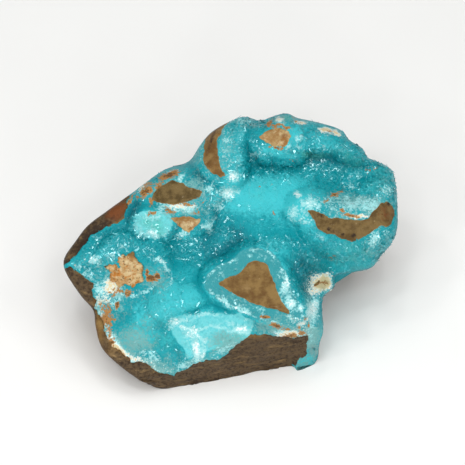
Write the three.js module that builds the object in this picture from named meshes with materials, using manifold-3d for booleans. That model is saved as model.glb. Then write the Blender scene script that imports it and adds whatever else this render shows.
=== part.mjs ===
// Smithsonite cluster: a loose block of brown iron-oxide rock, with a blue-green crust of
// smithsonite grown over its display side. Where knobs of the rock stood out, they are broken
// off flat, so each one shows brown rock inside a flat collar of crust.
//
// Millimetres, +Z up, origin at the middle of the ground that the block covers.
// The display side has a face frame of its own: u to the right, v up the face, w out of it.

import * as THREE from "three";
import { mergeVertices } from "three/addons/utils/BufferGeometryUtils.js";
import Module from "manifold-3d";

const wasm = await Module();
wasm.setup();

// Driving dimensions

const faceElevation = 50; // degrees above the horizon that the face frame's w axis points to
const faceHeight = 27.2; // height of the face frame's origin above the ground
const faceLean = -0.27; // mean rise of the display side along w for each mm of v
const crustThickness = 4.5; // of the smithsonite over the rock
const crustWrap = 9; // how far the crust runs round the rim on to the back
const contactGap = 0.3; // kept between the crust and the rock it grew on
const knobDepth = 10; // how deep each bare knob is followed below its top, to reach the core
const originShift = [2.65, -9.68]; // brings the middle of the block's box over the origin
const openTop = 40; // how far the outline is carried out of the face, past its highest point
const detail = {
  block: { cell: 2.5, rimSteps: 2, backRows: 8 }, // cell of the display side, and rows behind it
  core: { cell: 4, rimSteps: 1, backRows: 5 },
};

// Outline of the block seen straight along w, anticlockwise from the right, as [u, v]
const rimPoints = [
  [42, 1], [45.3, 4.8], [47.2, 9.5], [47.3, 16], [47, 21.2], [45.6, 27.2],
  [38.6, 30.8], [36.9, 33.6], [32.9, 36.3], [30.9, 39], [23.5, 41.6], [17.2, 43],
  [14.5, 44.3], [10.8, 43.7], [6.1, 42.1], [1.4, 43.2], [-2.6, 42], [-5.6, 40.6],
  [-9.3, 38], [-12, 34.6], [-15.3, 29.9], [-22.5, 27.3], [-31.7, 20.6], [-40.1, 14.5],
  [-45.6, 10.3], [-49.1, 5.8], [-52.6, 0.2], [-52.3, -2.9], [-47.3, -10.7], [-43.6, -15.1],
  [-43.1, -19], [-41.1, -26], [-35.7, -31.4], [-26, -38], [-23.4, -38.8], [-12.6, -37.4],
  [-10, -37.8], [1.4, -34.9], [22.3, -31.3], [23.8, -24.5], [24.8, -21.6], [24.9, -11],
  [28.2, -7.9], [28.5, -4.9], [34.2, -3.6], [39.6, -2.2],
];

// Swells and hollows of the display side. rise is along w, spread is the half width along the
// feature and across it, and turn is its direction in degrees from u.
const swells = [
  { at: [28, 26.5], rise: -5.5, spread: [14, 5], turn: -14 }, // deep hollow under the upper rim
  { at: [8, 29], rise: -2.5, spread: [8, 4], turn: -8 },
  { at: [24, 38], rise: 2.5, spread: [16, 4], turn: -14 }, // upper rim
  { at: [4, 18], rise: 1.5, spread: [12, 6], turn: 20 }, // broad floor
  { at: [-5, 6.5], rise: -4.2, spread: [9, 5], turn: -40 }, // central valley
  { at: [-4.5, 7], rise: 3, spread: [5, 4.5], turn: 0 },
  { at: [10.5, 4], rise: 3.5, spread: [8, 4.5], turn: 0 },
  { at: [-28, 3], rise: -4, spread: [18, 4.5], turn: -8 }, // left valley
  { at: [-19, -11.5], rise: 3, spread: [7, 6], turn: 20 },
  { at: [23, -6], rise: -7.5, spread: [9, 4], turn: 80 }, // valley behind the notch
  { at: [-8, -16], rise: -4, spread: [14, 2.5], turn: 12 },
  { at: [-24, -33], rise: -7, spread: [12, 7], turn: -10 }, // front left corner runs down
  { at: [-38, -22], rise: -3, spread: [6, 9], turn: 0 },
  { at: [26.5, -9], rise: 6, spread: [3.5, 3], turn: 0 }, // nodule at the notch
];

// Round lumps that the crust grew in, each a cap standing rise above the swells
const lumps = [
  { at: [7, 8.4], rise: 1.5, spread: [12.5, 8], turn: -6 }, // two hills in the middle
  { at: [10, 1.2], rise: 2, spread: [8.4, 6], turn: 0 },
  { at: [-5.6, 3.8], rise: 1.6, spread: [6.6, 5.8], turn: 0 },
  { at: [8, 19], rise: 1, spread: [17, 10], turn: 8 }, // broad floor
  { at: [-21.5, -13.5], rise: 3, spread: [6.3, 8], turn: 14 }, // two halves of the left dome
  { at: [-13.5, -12], rise: 2.8, spread: [6, 6.4], turn: -10 },
  { at: [-31, -21], rise: 1.4, spread: [9, 7], turn: 20 },
  { at: [-42, 1.5], rise: 1.6, spread: [7.5, 5], turn: 12 },
  { at: [-33, 7.4], rise: 1.2, spread: [8, 4.4], turn: 20 },
  { at: [4.4, 31.6], rise: 2.2, spread: [4.2, 3.8], turn: 0 }, // dome in the upper hollow
  { at: [34, 25], rise: 1.2, spread: [6, 4], turn: -20 },
  { at: [42, 25], rise: 1.5, spread: [5, 6], turn: 0 },
  { at: [26, 36.6], rise: 1.8, spread: [11, 3.8], turn: -12 },
  { at: [18.4, 14.4], rise: 1.6, spread: [5, 5.6], turn: 15 },
  { at: [-13, 25.5], rise: 1.6, spread: [5, 4], turn: 30 },
  { at: [24, 1.5], rise: 1.2, spread: [7, 4.5], turn: -10 },
  { at: [34, 2.5], rise: 1.2, spread: [6, 4], turn: 0 },
  { at: [42, 5], rise: 1.4, spread: [4.5, 5], turn: 0 },
  { at: [21.5, -19], rise: 1.4, spread: [3.6, 9], turn: 0 },
];
const lumpBlend = 0.25; // where a cap runs out on to the swells

// Bare rock on the display side: each knob is broken off along a plane at height top, tilted by
// slope along u and v, with a flat collar of crust of that width round it. The crust falls away
// beyond the collar in a shoulder of that radius.
const knobs = [
  {
    name: "middle",
    outline: [
      [-6.3, -6.6], [-1.3, -4.1], [2.3, -0.8], [5.2, 0.1], [8.2, -1.7], [10.1, -5.7],
      [11.6, -10.3], [14.9, -15.8], [10.4, -14.5], [5.6, -13], [1, -11.2], [-3.9, -8.8],
    ],
    centre: [5, -7], top: 6, slope: [0.02, -0.22], collar: 3.8, shoulder: 1,
  },
  {
    name: "right",
    outline: [
      [20.2, 15.1], [23.2, 14.6], [25.6, 12.8], [30.8, 12.6], [36.1, 12.1], [40, 14.2],
      [43.6, 17.8], [46.5, 14.4], [45.2, 11.2], [40.9, 9.8], [37.9, 7], [33, 5.6],
      [28.1, 7.2], [23.5, 9.5], [21.2, 13],
    ],
    centre: [33, 11], top: 0.6, slope: [-0.08, -0.2], collar: 1.8, shoulder: 3,
  },
  {
    name: "upper_left",
    outline: [
      [-3.4, 43], [-9.3, 40.5], [-10.8, 34.6], [-10.9, 29.8], [-8.9, 26], [-4.3, 24.7],
      [-6.2, 28.2], [-6.8, 31.6], [-7.1, 35.2], [-4.7, 39.8],
    ],
    centre: [-8, 32], top: -4.7, slope: [0.12, -0.3], collar: 1.3, shoulder: 1.4,
  },
  {
    name: "left_upper",
    outline: [
      [-25.9, 19.6], [-23.2, 22.4], [-20.2, 23.9], [-15.6, 22.4], [-11, 20.5],
      [-12.6, 18.6], [-17.6, 17.2], [-22.8, 16.3], [-25.2, 17.3],
    ],
    centre: [-18, 20], top: -2.2, slope: [0.05, -0.35], collar: 2.2, shoulder: 2,
  },
  {
    name: "left_small",
    outline: [[-20.6, 12.8], [-15.9, 12.7], [-11.4, 12.5], [-13.4, 9.8], [-15.3, 8.1], [-18.2, 10.3]],
    centre: [-16, 11], top: -1.4, slope: [0, 0.1], collar: 1.6, shoulder: 1.8,
  },
  {
    name: "top",
    outline: [
      [6, 37], [9.5, 39.1], [13.4, 39.2], [15.4, 37.4], [14, 35.4], [11.6, 33.5], [8.9, 34.1],
    ],
    centre: [11, 36.5], top: -5.2, slope: [0, -0.25], collar: 1.6, shoulder: 1.2,
  },
  {
    name: "left",
    outline: [
      [-39.4, -4.2], [-37.1, -1], [-34.8, 0.6], [-30.6, -0.7], [-28.2, -2.9], [-29.9, -6.2],
      [-32.2, -8.8], [-36.6, -7.7],
    ],
    centre: [-33.5, -4], top: 2.3, slope: [0.03, -0.2], collar: 5, shoulder: 2.5,
  },
];

// Lobes of crust broken off flat, with no rock showing, and two shelves over the upper hollow
const lobes = [
  {
    name: "upper_band",
    outline: [
      [17, 40], [24, 40.4], [31.5, 38], [37.8, 33.4], [42, 30.2], [38, 30.2], [33.4, 30.8],
      [30.4, 31.8], [28, 33.3], [24, 33.6], [20, 33.6], [17, 33.2],
    ],
    centre: [28, 35], top: -6.8, slope: [-0.05, -0.25], collar: 0, shoulder: 0.5,
  },
  {
    name: "top_shelf",
    outline: [
      [7, 33.8], [10, 31.2], [14.5, 30.8], [18.3, 32.6], [19.2, 36.8], [16, 39.4], [12, 37],
    ],
    centre: [14, 34], top: -5.9, slope: [0, -0.25], collar: 0, shoulder: 0.8,
  },
  {
    name: "upper_collar",
    outline: [
      [-4.6, 41], [-2, 42.6], [0.6, 42], [1, 38], [-0.4, 34], [-0.3, 28.6], [-0.8, 24.6],
      [-3, 23.6], [-5.4, 26], [-6.4, 31], [-6.4, 36],
    ],
    centre: [-8, 32], top: -4.7, slope: [0.12, -0.3], collar: 0, shoulder: 1,
  },
  {
    name: "front",
    outline: [
      [-20.4, -18.9], [-15.3, -16.5], [-8.7, -15.3], [-0.6, -16.5], [3.3, -19.5],
      [1.5, -23.1], [-4, -27.5], [-9, -30.3], [-12.6, -30], [-15.3, -26.4], [-19.4, -22.2],
    ],
    centre: [-9, -21], top: 6.2, slope: [0.06, -0.08], collar: 0, shoulder: 1.4,
  },
  {
    name: "left",
    outline: [
      [-31.6, 9.2], [-29.8, 13.4], [-26, 14.6], [-21.4, 13.8], [-20.4, 10.5], [-22.6, 7.6],
      [-26.7, 6.8], [-30, 7.8],
    ],
    centre: [-26, 10.5], top: 0.4, slope: [0.05, 0.12], collar: 0, shoulder: 0.9,
  },
];

// Bare rock at the rim: broken walls of the block, followed past the outline
const walls = [
  {
    name: "front",
    outline: [
      [-51.2, -2], [-43.5, -6.9], [-43.8, -9.6], [-43, -15.4], [-41.3, -18], [-38.8, -25],
      [-32.1, -30], [-28.7, -29.7], [-24.7, -33], [-20, -34], [-15.3, -32],
      [-12.6, -30], [-7, -29.8], [-3.3, -27], [1.4, -22.3], [4.1, -21.3], [14.1, -23],
      [20.2, -22], [19.5, -27.7], [17, -31], [16, -40], [-20, -46], [-50, -36], [-62, -6],
    ],
  },
  {
    name: "left_edge",
    outline: [
      [-51.2, -1.2], [-48, 3], [-45.2, 7.5], [-42.6, 8.8], [-36.8, 11.4], [-34.6, 13],
      [-34.4, 17.3], [-32.8, 19.2], [-38, 22], [-58, 6], [-60, -6],
    ],
  },
];

// Fractures that bound the block behind its rim. Each faces an azimuth and an elevation in
// degrees. It touches the rim from outside, or lies at a distance from the heart of the block.
const fractures = [
  { azimuth: 92, elevation: -4 },
  { azimuth: 134, elevation: 2 },
  { azimuth: 52, elevation: -12 },
  { azimuth: 14, elevation: -22 },
  { azimuth: -28, elevation: -28 },
  { azimuth: 170, elevation: -14 },
  { azimuth: 206, elevation: -30 },
  { azimuth: 240, elevation: -22 },
  { azimuth: 104, elevation: -40, distance: 37 },
  { azimuth: 62, elevation: -46, distance: 34 },
];
const frontWall = { azimuth: -77.2, distance: 22.3 }; // upright, and cut through the display side

// Frames

const faceFrame = new THREE.Matrix4()
  .makeRotationX(THREE.MathUtils.degToRad(90 - faceElevation))
  .setPosition(0, 0, faceHeight);
const heart = new THREE.Vector3(0, 7.5, 15); // inside the block: its back is laid out from here

function onFace(u, v, w) {
  return new THREE.Vector3(u, v, w).applyMatrix4(faceFrame);
}

function facing(azimuth, elevation) {
  const a = THREE.MathUtils.degToRad(azimuth);
  const e = THREE.MathUtils.degToRad(elevation);
  return new THREE.Vector3(Math.cos(e) * Math.cos(a), Math.cos(e) * Math.sin(a), Math.sin(e));
}

// Outlines

function closedOutline(points, steps) {
  const corners = points.map(([u, v]) => new THREE.Vector3(u, v, 0));
  const curve = new THREE.CatmullRomCurve3(corners, true, "centripetal");
  const outline = curve.getPoints(points.length * steps).slice(0, -1);
  if (THREE.ShapeUtils.isClockWise(outline)) outline.reverse();
  return outline.map((p) => new THREE.Vector2(p.x, p.y));
}

// Distance to a closed outline, negative inside it
function outsideOf(outline, u, v) {
  let nearest = Infinity;
  let inside = false;
  outline.forEach((a, i) => {
    const b = outline[(i + 1) % outline.length];
    const du = b.x - a.x;
    const dv = b.y - a.y;
    const share = ((u - a.x) * du + (v - a.y) * dv) / (du * du + dv * dv);
    const along = THREE.MathUtils.clamp(share, 0, 1);
    nearest = Math.min(nearest, Math.hypot(u - a.x - along * du, v - a.y - along * dv));
    if (a.y > v !== b.y > v && u < a.x + (du * (v - a.y)) / dv) inside = !inside;
  });
  return inside ? -nearest : nearest;
}

const rim = closedOutline(rimPoints, 2);

// Surface of the display side

function smoothMax(a, b, blend) {
  const share = THREE.MathUtils.clamp(0.5 + (0.5 * (a - b)) / blend, 0, 1);
  return b + (a - b) * share + blend * share * (1 - share);
}

// Squared distance from the middle of a swell or lump, in its own half widths
function squaredPlace({ at, spread, turn }, u, v) {
  const t = THREE.MathUtils.degToRad(turn);
  const along = ((u - at[0]) * Math.cos(t) + (v - at[1]) * Math.sin(t)) / spread[0];
  const across = ((v - at[1]) * Math.cos(t) - (u - at[0]) * Math.sin(t)) / spread[1];
  return along * along + across * across;
}

// The broken plane of a knob or lobe, falling away in a round shoulder outside its collar
const shoulderBlend = 1.2; // where the shoulder runs out on to the crust round it
function brokenHeight({ centre, top, slope, collar, shoulder, edge }, u, v) {
  const plane = top + slope[0] * (u - centre[0]) + slope[1] * (v - centre[1]);
  const beyond = Math.max(outsideOf(edge, u, v) - collar, 0);
  return plane - (beyond * beyond) / (2 * shoulder);
}

// Share of crust round the rim: it covers the right and upper sides, and sets in and ends over
// these degrees about the face frame's origin
const crustedFrom = [-55, -35];
const crustedTo = [125, 145];
function crustedShare(u, v) {
  const angle = THREE.MathUtils.radToDeg(Math.atan2(v, u));
  return (
    THREE.MathUtils.smoothstep(angle, ...crustedFrom) - THREE.MathUtils.smoothstep(angle, ...crustedTo)
  );
}

// The surface rolls over towards the rim in a quarter round, wide where crust covers the rim
const rimRoll = { crusted: { width: 6.5, drop: 8 }, bare: { width: 2, drop: 2 } };
function rollDrop(u, v) {
  const share = crustedShare(u, v);
  const width = THREE.MathUtils.lerp(rimRoll.bare.width, rimRoll.crusted.width, share);
  const drop = THREE.MathUtils.lerp(rimRoll.bare.drop, rimRoll.crusted.drop, share);
  const near = THREE.MathUtils.clamp(1 + outsideOf(rim, u, v) / width, 0, 1);
  return drop * (1 - Math.sqrt(1 - near * near));
}

for (const form of [...knobs, ...lobes]) form.edge = closedOutline(form.outline, 1);

function displayHeight(u, v) {
  let height = faceLean * v;
  for (const swell of swells) height += swell.rise * Math.exp(-squaredPlace(swell, u, v));
  const caps = lumps.map((lump) => lump.rise * (1 - squaredPlace(lump, u, v)));
  height += smoothMax(Math.max(...caps), 0, lumpBlend);
  for (const form of [...lobes, ...knobs]) {
    height = smoothMax(height, brokenHeight(form, u, v), shoulderBlend);
  }
  return height - rollDrop(u, v);
}

// Solids

function solidOf(geometry) {
  const bare = geometry.clone();
  bare.deleteAttribute("normal");
  bare.deleteAttribute("uv");
  const merged = mergeVertices(bare, 1e-4);
  return new wasm.Manifold(
    new wasm.Mesh({
      numProp: 3,
      vertProperties: new Float32Array(merged.attributes.position.array),
      triVerts: new Uint32Array(merged.index.array),
    }),
  );
}

function largestOf(solid) {
  return solid.decompose().reduce((a, b) => (b.volume() > a.volume() ? b : a));
}

// Each cell of a grid is two triangles, and its diagonal is turned along the slope's contour
function turnDiagonals(grid) {
  const { position } = grid.attributes;
  const corners = grid.index.array;
  for (let i = 0; i < corners.length; i += 6) {
    const [a, b, d, , c] = corners.slice(i, i + 6);
    const fallAC = Math.abs(position.getZ(a) - position.getZ(c));
    const fallBD = Math.abs(position.getZ(b) - position.getZ(d));
    if (fallAC < fallBD) corners.set([a, b, c, a, c, d], i);
  }
}

// A deep slab whose top is the display side, sunk by depth
const slabSize = { width: 112, height: 96, middle: [-2, 2], bottom: -90 };
function displaySlab(cell, depth) {
  const { width, height, middle, bottom } = slabSize;
  const across = Math.round(width / cell);
  const up = Math.round(height / cell);
  const slab = new THREE.BoxGeometry(width, height, 2, across, up, 1);
  const position = slab.attributes.position;
  for (let i = 0; i < position.count; i++) {
    const u = position.getX(i) + middle[0];
    const v = position.getY(i) + middle[1];
    position.setXYZ(i, u, v, position.getZ(i) > 0 ? displayHeight(u, v) - depth : bottom);
  }
  turnDiagonals(slab);
  return solidOf(slab.applyMatrix4(faceFrame));
}

// Distance from the heart to the fractures, in a direction
const rimInSpace = rim.map((p) => onFace(p.x, p.y, displayHeight(p.x, p.y)));
const backPlanes = fractures.map(({ azimuth, elevation, distance }) => {
  const normal = facing(azimuth, elevation);
  const touch = Math.max(...rimInSpace.map((p) => p.dot(normal))) - normal.dot(heart);
  return { normal, distance: distance ?? touch };
});
const fractureSharpness = 16; // higher gives sharper edges where two fractures meet
function backReach(direction) {
  let sum = 0;
  for (const { normal, distance } of backPlanes) {
    const towards = normal.dot(direction);
    if (towards > 0) sum += (towards / distance) ** fractureSharpness;
  }
  return sum ** (-1 / fractureSharpness);
}

// How far a direction runs from the heart before it leaves the outline, seen along w
const heartInFace = heart.clone().applyMatrix4(faceFrame.clone().invert());
function outlineReach(direction) {
  const ahead = direction.clone().transformDirection(faceFrame.clone().invert());
  let reach = Infinity;
  rim.forEach((a, i) => {
    const edge = rim[(i + 1) % rim.length].clone().sub(a);
    const start = a.clone().sub(heartInFace);
    const turn = ahead.x * edge.y - ahead.y * edge.x;
    const alongRay = (start.x * edge.y - start.y * edge.x) / turn;
    const alongEdge = (start.x * ahead.y - start.y * ahead.x) / turn;
    if (alongRay > 0 && alongEdge >= 0 && alongEdge <= 1) reach = Math.min(reach, alongRay);
  });
  return reach;
}

// The block's outline carried out of the face, and its fractured back. A sphere's first rows
// are the outline, and its other rows sweep from the rim round to straight below the heart. The
// core that the crust grew on lies at the crust's thickness inside the block where crust wraps
// the rim, and elsewhere beyond the block's own skin.
const skinJoin = 0.3; // share of the sweep that leads from the rim's reach to the fractures'
const crustEnd = { run: 5, ground: [1.5, 5] }; // it thins over this run, and above the ground
function outlineForm({ rimSteps, backRows, thickness, beyond, gap }) {
  const outline = closedOutline(rimPoints, rimSteps);
  const form = new THREE.SphereGeometry(1, outline.length, backRows + 2);
  const position = form.attributes.position;
  const down = new THREE.Vector3(0, 0, -1);
  for (let spoke = 0; spoke <= outline.length; spoke++) {
    const onRim = outline[spoke % outline.length];
    const covered = crustedShare(onRim.x, onRim.y);
    const inset = THREE.MathUtils.lerp(-beyond, thickness, covered) - gap;
    const height = displayHeight(onRim.x, onRim.y);
    const outward = onFace(onRim.x, onRim.y, height).sub(heart);
    const rimReach = outward.length();
    outward.normalize();
    const sweep = outward.angleTo(down);
    const axis = outward.clone().cross(down).normalize();
    const { x: u, y: v } = onRim.clone().setLength(onRim.length() - inset);
    for (let row = 0; row <= backRows + 2; row++) {
      let point = onFace(u, v, height);
      if (row === 0) point = onFace(0, 0, openTop);
      if (row === 1) point = onFace(u, v, openTop);
      if (row > 2) {
        const share = (row - 2) / backRows;
        const direction = outward.clone().applyAxisAngle(axis, sweep * share);
        const joined = THREE.MathUtils.smoothstep(share, 0, skinJoin);
        const toSkin = THREE.MathUtils.lerp(rimReach, backReach(direction), joined);
        const reach = Math.min(toSkin, outlineReach(direction));
        const outer = direction.clone().multiplyScalar(reach).add(heart);
        const run = sweep * share * rimReach;
        const ended = Math.max(
          THREE.MathUtils.smoothstep(run, crustWrap, crustWrap + crustEnd.run),
          1 - THREE.MathUtils.smoothstep(outer.z, ...crustEnd.ground),
        );
        point = outer.addScaledVector(direction, THREE.MathUtils.lerp(-inset, beyond + gap, ended));
      }
      position.setXYZ(row * (outline.length + 1) + spoke, point.x, point.y, point.z);
    }
  }
  return solidOf(form);
}

// A prism along w through a closed outline, grown outwards, from bottom up out of the face
function prismOf(outline, bottom, grow) {
  const shape = new THREE.Shape(
    outline.map((p, i) => {
      const before = outline[(i + outline.length - 1) % outline.length];
      const after = outline[(i + 1) % outline.length];
      const outwards = new THREE.Vector2(after.y - before.y, before.x - after.x).normalize();
      return p.clone().addScaledVector(outwards, grow);
    }),
  );
  const prism = new THREE.ExtrudeGeometry(shape, { depth: openTop - bottom, bevelEnabled: false });
  return solidOf(prism.translate(0, 0, bottom).applyMatrix4(faceFrame));
}

// Everything in front of the front wall, as a box standing on its plane
function frontOffcut() {
  const size = 160;
  const offcut = new THREE.BoxGeometry(size, size, size);
  offcut.translate(frontWall.distance + size / 2, 0, 0);
  return solidOf(offcut.rotateZ(THREE.MathUtils.degToRad(frontWall.azimuth)));
}

// The whole block, cut by its front wall and by the ground that it stands on
const block = displaySlab(detail.block.cell, 0)
  .intersect(outlineForm({ ...detail.block, thickness: 0, beyond: 0, gap: 0 }))
  .subtract(frontOffcut())
  .trimByPlane([0, 0, 1], 0);

// Where rock is met: under the crust, and in the bare outlines; grown by a gap to cut the crust
function rockReach(gap) {
  let reach = displaySlab(detail.core.cell, crustThickness - gap).intersect(
    outlineForm({ ...detail.core, thickness: crustThickness, beyond: 1, gap }),
  );
  for (const { edge, top } of knobs) reach = reach.add(prismOf(edge, top - knobDepth - gap, gap));
  for (const { outline } of walls) {
    reach = reach.add(prismOf(closedOutline(outline, 1), slabSize.bottom, gap));
  }
  return reach;
}

const rock = largestOf(block.intersect(rockReach(0)));
const crust = largestOf(block.subtract(rockReach(contactGap)));

// Nodes

function meshOf(name, solid, material) {
  const mesh = solid.getMesh();
  const geometry = new THREE.BufferGeometry();
  geometry.setAttribute("position", new THREE.BufferAttribute(mesh.vertProperties, 3));
  geometry.setIndex(new THREE.BufferAttribute(mesh.triVerts, 1));
  geometry.translate(...originShift, 0);
  const node = new THREE.Mesh(geometry, material);
  node.name = name;
  return node;
}

const limonite = new THREE.MeshStandardMaterial({ color: 0x7a5f3d, roughness: 0.85 });
const smithsonite = new THREE.MeshStandardMaterial({ color: 0x3fb9c4, roughness: 0.45 });

const cluster = new THREE.Group();
cluster.name = "smithsonite_cluster";
cluster.add(meshOf("rock_matrix", rock, limonite));
cluster.add(meshOf("smithsonite_crust", crust, smithsonite));

export default cluster;
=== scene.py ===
from math import cos, pi, radians, sin

import bpy
import numpy as np
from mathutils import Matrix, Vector


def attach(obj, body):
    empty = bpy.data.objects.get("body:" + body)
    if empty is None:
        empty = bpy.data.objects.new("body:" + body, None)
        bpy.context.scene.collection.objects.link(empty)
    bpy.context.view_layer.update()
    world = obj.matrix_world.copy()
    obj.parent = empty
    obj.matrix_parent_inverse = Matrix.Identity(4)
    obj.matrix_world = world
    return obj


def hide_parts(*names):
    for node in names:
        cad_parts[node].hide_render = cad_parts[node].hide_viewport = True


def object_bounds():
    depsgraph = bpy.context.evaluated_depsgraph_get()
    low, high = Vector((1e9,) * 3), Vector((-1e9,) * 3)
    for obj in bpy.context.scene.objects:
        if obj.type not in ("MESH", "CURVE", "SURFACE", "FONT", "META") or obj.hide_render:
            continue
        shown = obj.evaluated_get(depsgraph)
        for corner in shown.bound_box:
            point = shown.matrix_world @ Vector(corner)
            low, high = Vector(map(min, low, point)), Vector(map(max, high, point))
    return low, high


# A smithsonite cluster: a block of brown limonite with a blue-green crust of smithsonite over
# its display side, knobs of bare rock broken off flat, and a druse of tiny bright crystals.
# Shapes are worked out in millimetres, in the display side's own frame: u to the right, v up
# the face and w out of it. They go into the meshes in metres.

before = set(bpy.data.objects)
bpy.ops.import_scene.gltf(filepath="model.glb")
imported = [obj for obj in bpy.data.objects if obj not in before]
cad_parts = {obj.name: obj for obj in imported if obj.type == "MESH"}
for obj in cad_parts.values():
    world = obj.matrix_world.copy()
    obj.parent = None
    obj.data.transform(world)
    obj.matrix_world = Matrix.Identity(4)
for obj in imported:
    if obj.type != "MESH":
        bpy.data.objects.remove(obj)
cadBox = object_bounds()
mm = 0.001

# Values of the block, as in the part's own source

block = {
    "elevation": 50,  # degrees above the horizon that w points to
    "height": 27.2,  # of the face frame's origin above the ground
    "lean": -0.27,  # rise of the display side along w for each mm of v
    "shift": (2.65, -9.68),  # brings the block over the origin
    "heart": (0, 7.5, 15),  # the back is laid out from here
    "crust": 4.5,  # thickness over the rock
    "wrap": 9,  # how far the crust runs round the rim
    "wrapEnd": 5,  # over how much of that it dies out
    "crustedFrom": (-56, -50),  # degrees round the rim
    "crustedTo": (125, 145),
    "rollCrusted": (6.5, 8),  # width and drop of the rounded rim
    "rollBare": (2, 2),
    "frontWall": (-77.2, 22.3),  # azimuth in degrees and distance
    "fractureSharpness": 16,
}

rimPoints = [
    (42, 1), (45.3, 4.8), (47.2, 9.5), (47.3, 16), (47, 21.2), (45.6, 27.2),
    (38.6, 30.8), (36.9, 33.6), (32.9, 36.3), (30.9, 39), (23.5, 41.6), (17.2, 43),
    (14.5, 44.3), (10.8, 43.7), (6.1, 42.1), (1.4, 43.2), (-2.6, 42), (-5.6, 40.6),
    (-9.3, 38), (-12, 34.6), (-15.3, 29.9), (-22.5, 27.3), (-31.7, 20.6), (-40.1, 14.5),
    (-45.6, 10.3), (-49.1, 5.8), (-52.6, 0.2), (-52.3, -2.9), (-47.3, -10.7), (-43.6, -15.1),
    (-43.1, -19), (-41.1, -26), (-35.7, -31.4), (-26, -38), (-23.4, -38.8), (-12.6, -37.4),
    (-10, -37.8), (1.4, -34.9), (22.3, -31.3), (23.8, -24.5), (24.8, -21.6), (24.9, -11),
    (28.2, -7.9), (28.5, -4.9), (34.2, -3.6), (39.6, -2.2),
]

# at, rise along w, half widths along and across, turn in degrees from u
swells = [
    ((28, 26.5), -5.5, (14, 5), -14),  # deep hollow under the upper rim
    ((8, 29), -2.5, (8, 4), -8),
    ((24, 38), 2.5, (16, 4), -14),  # upper rim
    ((4, 18), 1.5, (12, 6), 20),  # broad floor
    ((-5, 6.5), -4.2, (9, 5), -40),  # central valley
    ((-4.5, 7), 3, (5, 4.5), 0),
    ((10.5, 4), 3.5, (8, 4.5), 0),
    ((-28, 3), -4, (18, 4.5), -8),  # left valley
    ((-19, -11.5), 3, (7, 6), 20),
    ((23, -6), -7.5, (9, 4), 80),  # valley behind the notch
    ((-8, -16), -4, (14, 2.5), 12),
    ((-24, -33), -7, (12, 7), -10),  # front left corner runs down
    ((-38, -22), -3, (6, 9), 0),
    ((26.5, -9), 6, (3.5, 3), 0),  # nodule at the notch
]

# Knobs of bare rock broken off flat: outline, centre, height there, slope along u and v, width
# of the crust left round it, radius of that crust's shoulder, how uneven and how pale it is, the
# change in its tone, and how olive, how tan and how rough the rock is
knobs = {
    "middle": {
        "outline": [
            (-6.3, -6.6), (-1.3, -4.1), (2.3, -0.8), (5.2, 0.1), (8.2, -1.7), (10.1, -5.7),
            (11.6, -10.3), (14.9, -15.8), (10.4, -14.5), (5.6, -13), (1, -11.2), (-3.9, -8.8),
        ],
        "centre": (5, -7), "top": 6, "slope": (0.02, -0.22), "collar": 3.8,
        "shoulder": 1.0, "uneven": 0.5, "pale": 1, "tone": 0, "finish": (0.1, 0, 0),
    },
    "right": {
        "outline": [
            (20.2, 15.1), (23.2, 14.6), (25.6, 12.8), (30.8, 12.6), (36.1, 12.1), (40, 14.2),
            (43.6, 17.8), (46.5, 14.4), (45.2, 11.2), (40.9, 9.8), (37.9, 7), (33, 5.6),
            (28.1, 7.2), (23.5, 9.5), (21.2, 13),
        ],
        "centre": (33, 11), "top": 0.6, "slope": (-0.08, -0.2), "collar": 1.8,
        "shoulder": 3, "uneven": 1.2, "pale": 0.15, "tone": 0, "finish": (0.75, 0, 0.2),
    },
    "upperLeft": {
        "outline": [
            (-3.4, 43), (-9.3, 40.5), (-10.8, 34.6), (-10.9, 29.8), (-8.9, 26), (-4.3, 24.7),
            (-6.2, 28.2), (-6.8, 31.6), (-7.1, 35.2), (-4.7, 39.8),
        ],
        "centre": (-8, 32), "top": -4.7, "slope": (0.12, -0.3), "collar": 1.3,
        "shoulder": 1.4, "uneven": 0.6, "pale": 0.4, "tone": 0, "finish": (0, 0.05, 0.15),
    },
    "leftUpper": {
        "outline": [
            (-25.9, 19.6), (-23.2, 22.4), (-20.2, 23.9), (-15.6, 22.4), (-11, 20.5),
            (-12.6, 18.6), (-17.6, 17.2), (-22.8, 16.3), (-25.2, 17.3),
        ],
        "centre": (-18, 20), "top": -2.2, "slope": (0.05, -0.35), "collar": 2.2,
        "shoulder": 2.0, "uneven": 1.0, "pale": 0.4, "tone": 0, "finish": (1, 0, 0),
    },
    "leftSmall": {
        "outline": [
            (-20.6, 12.8), (-15.9, 12.7), (-11.4, 12.5), (-13.4, 9.8), (-15.3, 8.1), (-18.2, 10.3),
        ],
        "centre": (-16, 11), "top": -1.4, "slope": (0, 0.1), "collar": 1.6,
        "shoulder": 1.8, "uneven": 0.9, "pale": 0.4, "tone": 0, "finish": (0, 0.75, 0.04),
    },
    "top": {
        "outline": [
            (6, 37), (9.5, 39.1), (13.4, 39.2), (15.4, 37.4), (14, 35.4), (11.6, 33.5),
            (8.9, 34.1),
        ],
        "centre": (11, 36.5), "top": -5.2, "slope": (0, -0.25), "collar": 1.6,
        "shoulder": 1.2, "uneven": 1.6, "pale": 0.3, "tone": 0, "finish": (0.1, 0.6, 0.22),
    },
    "left": {
        "outline": [
            (-39.4, -4.2), (-37.1, -1), (-34.8, 0.6), (-30.6, -0.7), (-28.2, -2.9),
            (-29.9, -6.2), (-32.2, -8.8), (-36.6, -7.7),
        ],
        "centre": (-33.5, -4), "top": 2.3, "slope": (0.03, -0.2), "collar": 5,
        "shoulder": 2.5, "uneven": 1.8, "pale": 0.25, "tone": 0, "finish": (0, 1, 1),
    },
}

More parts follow.
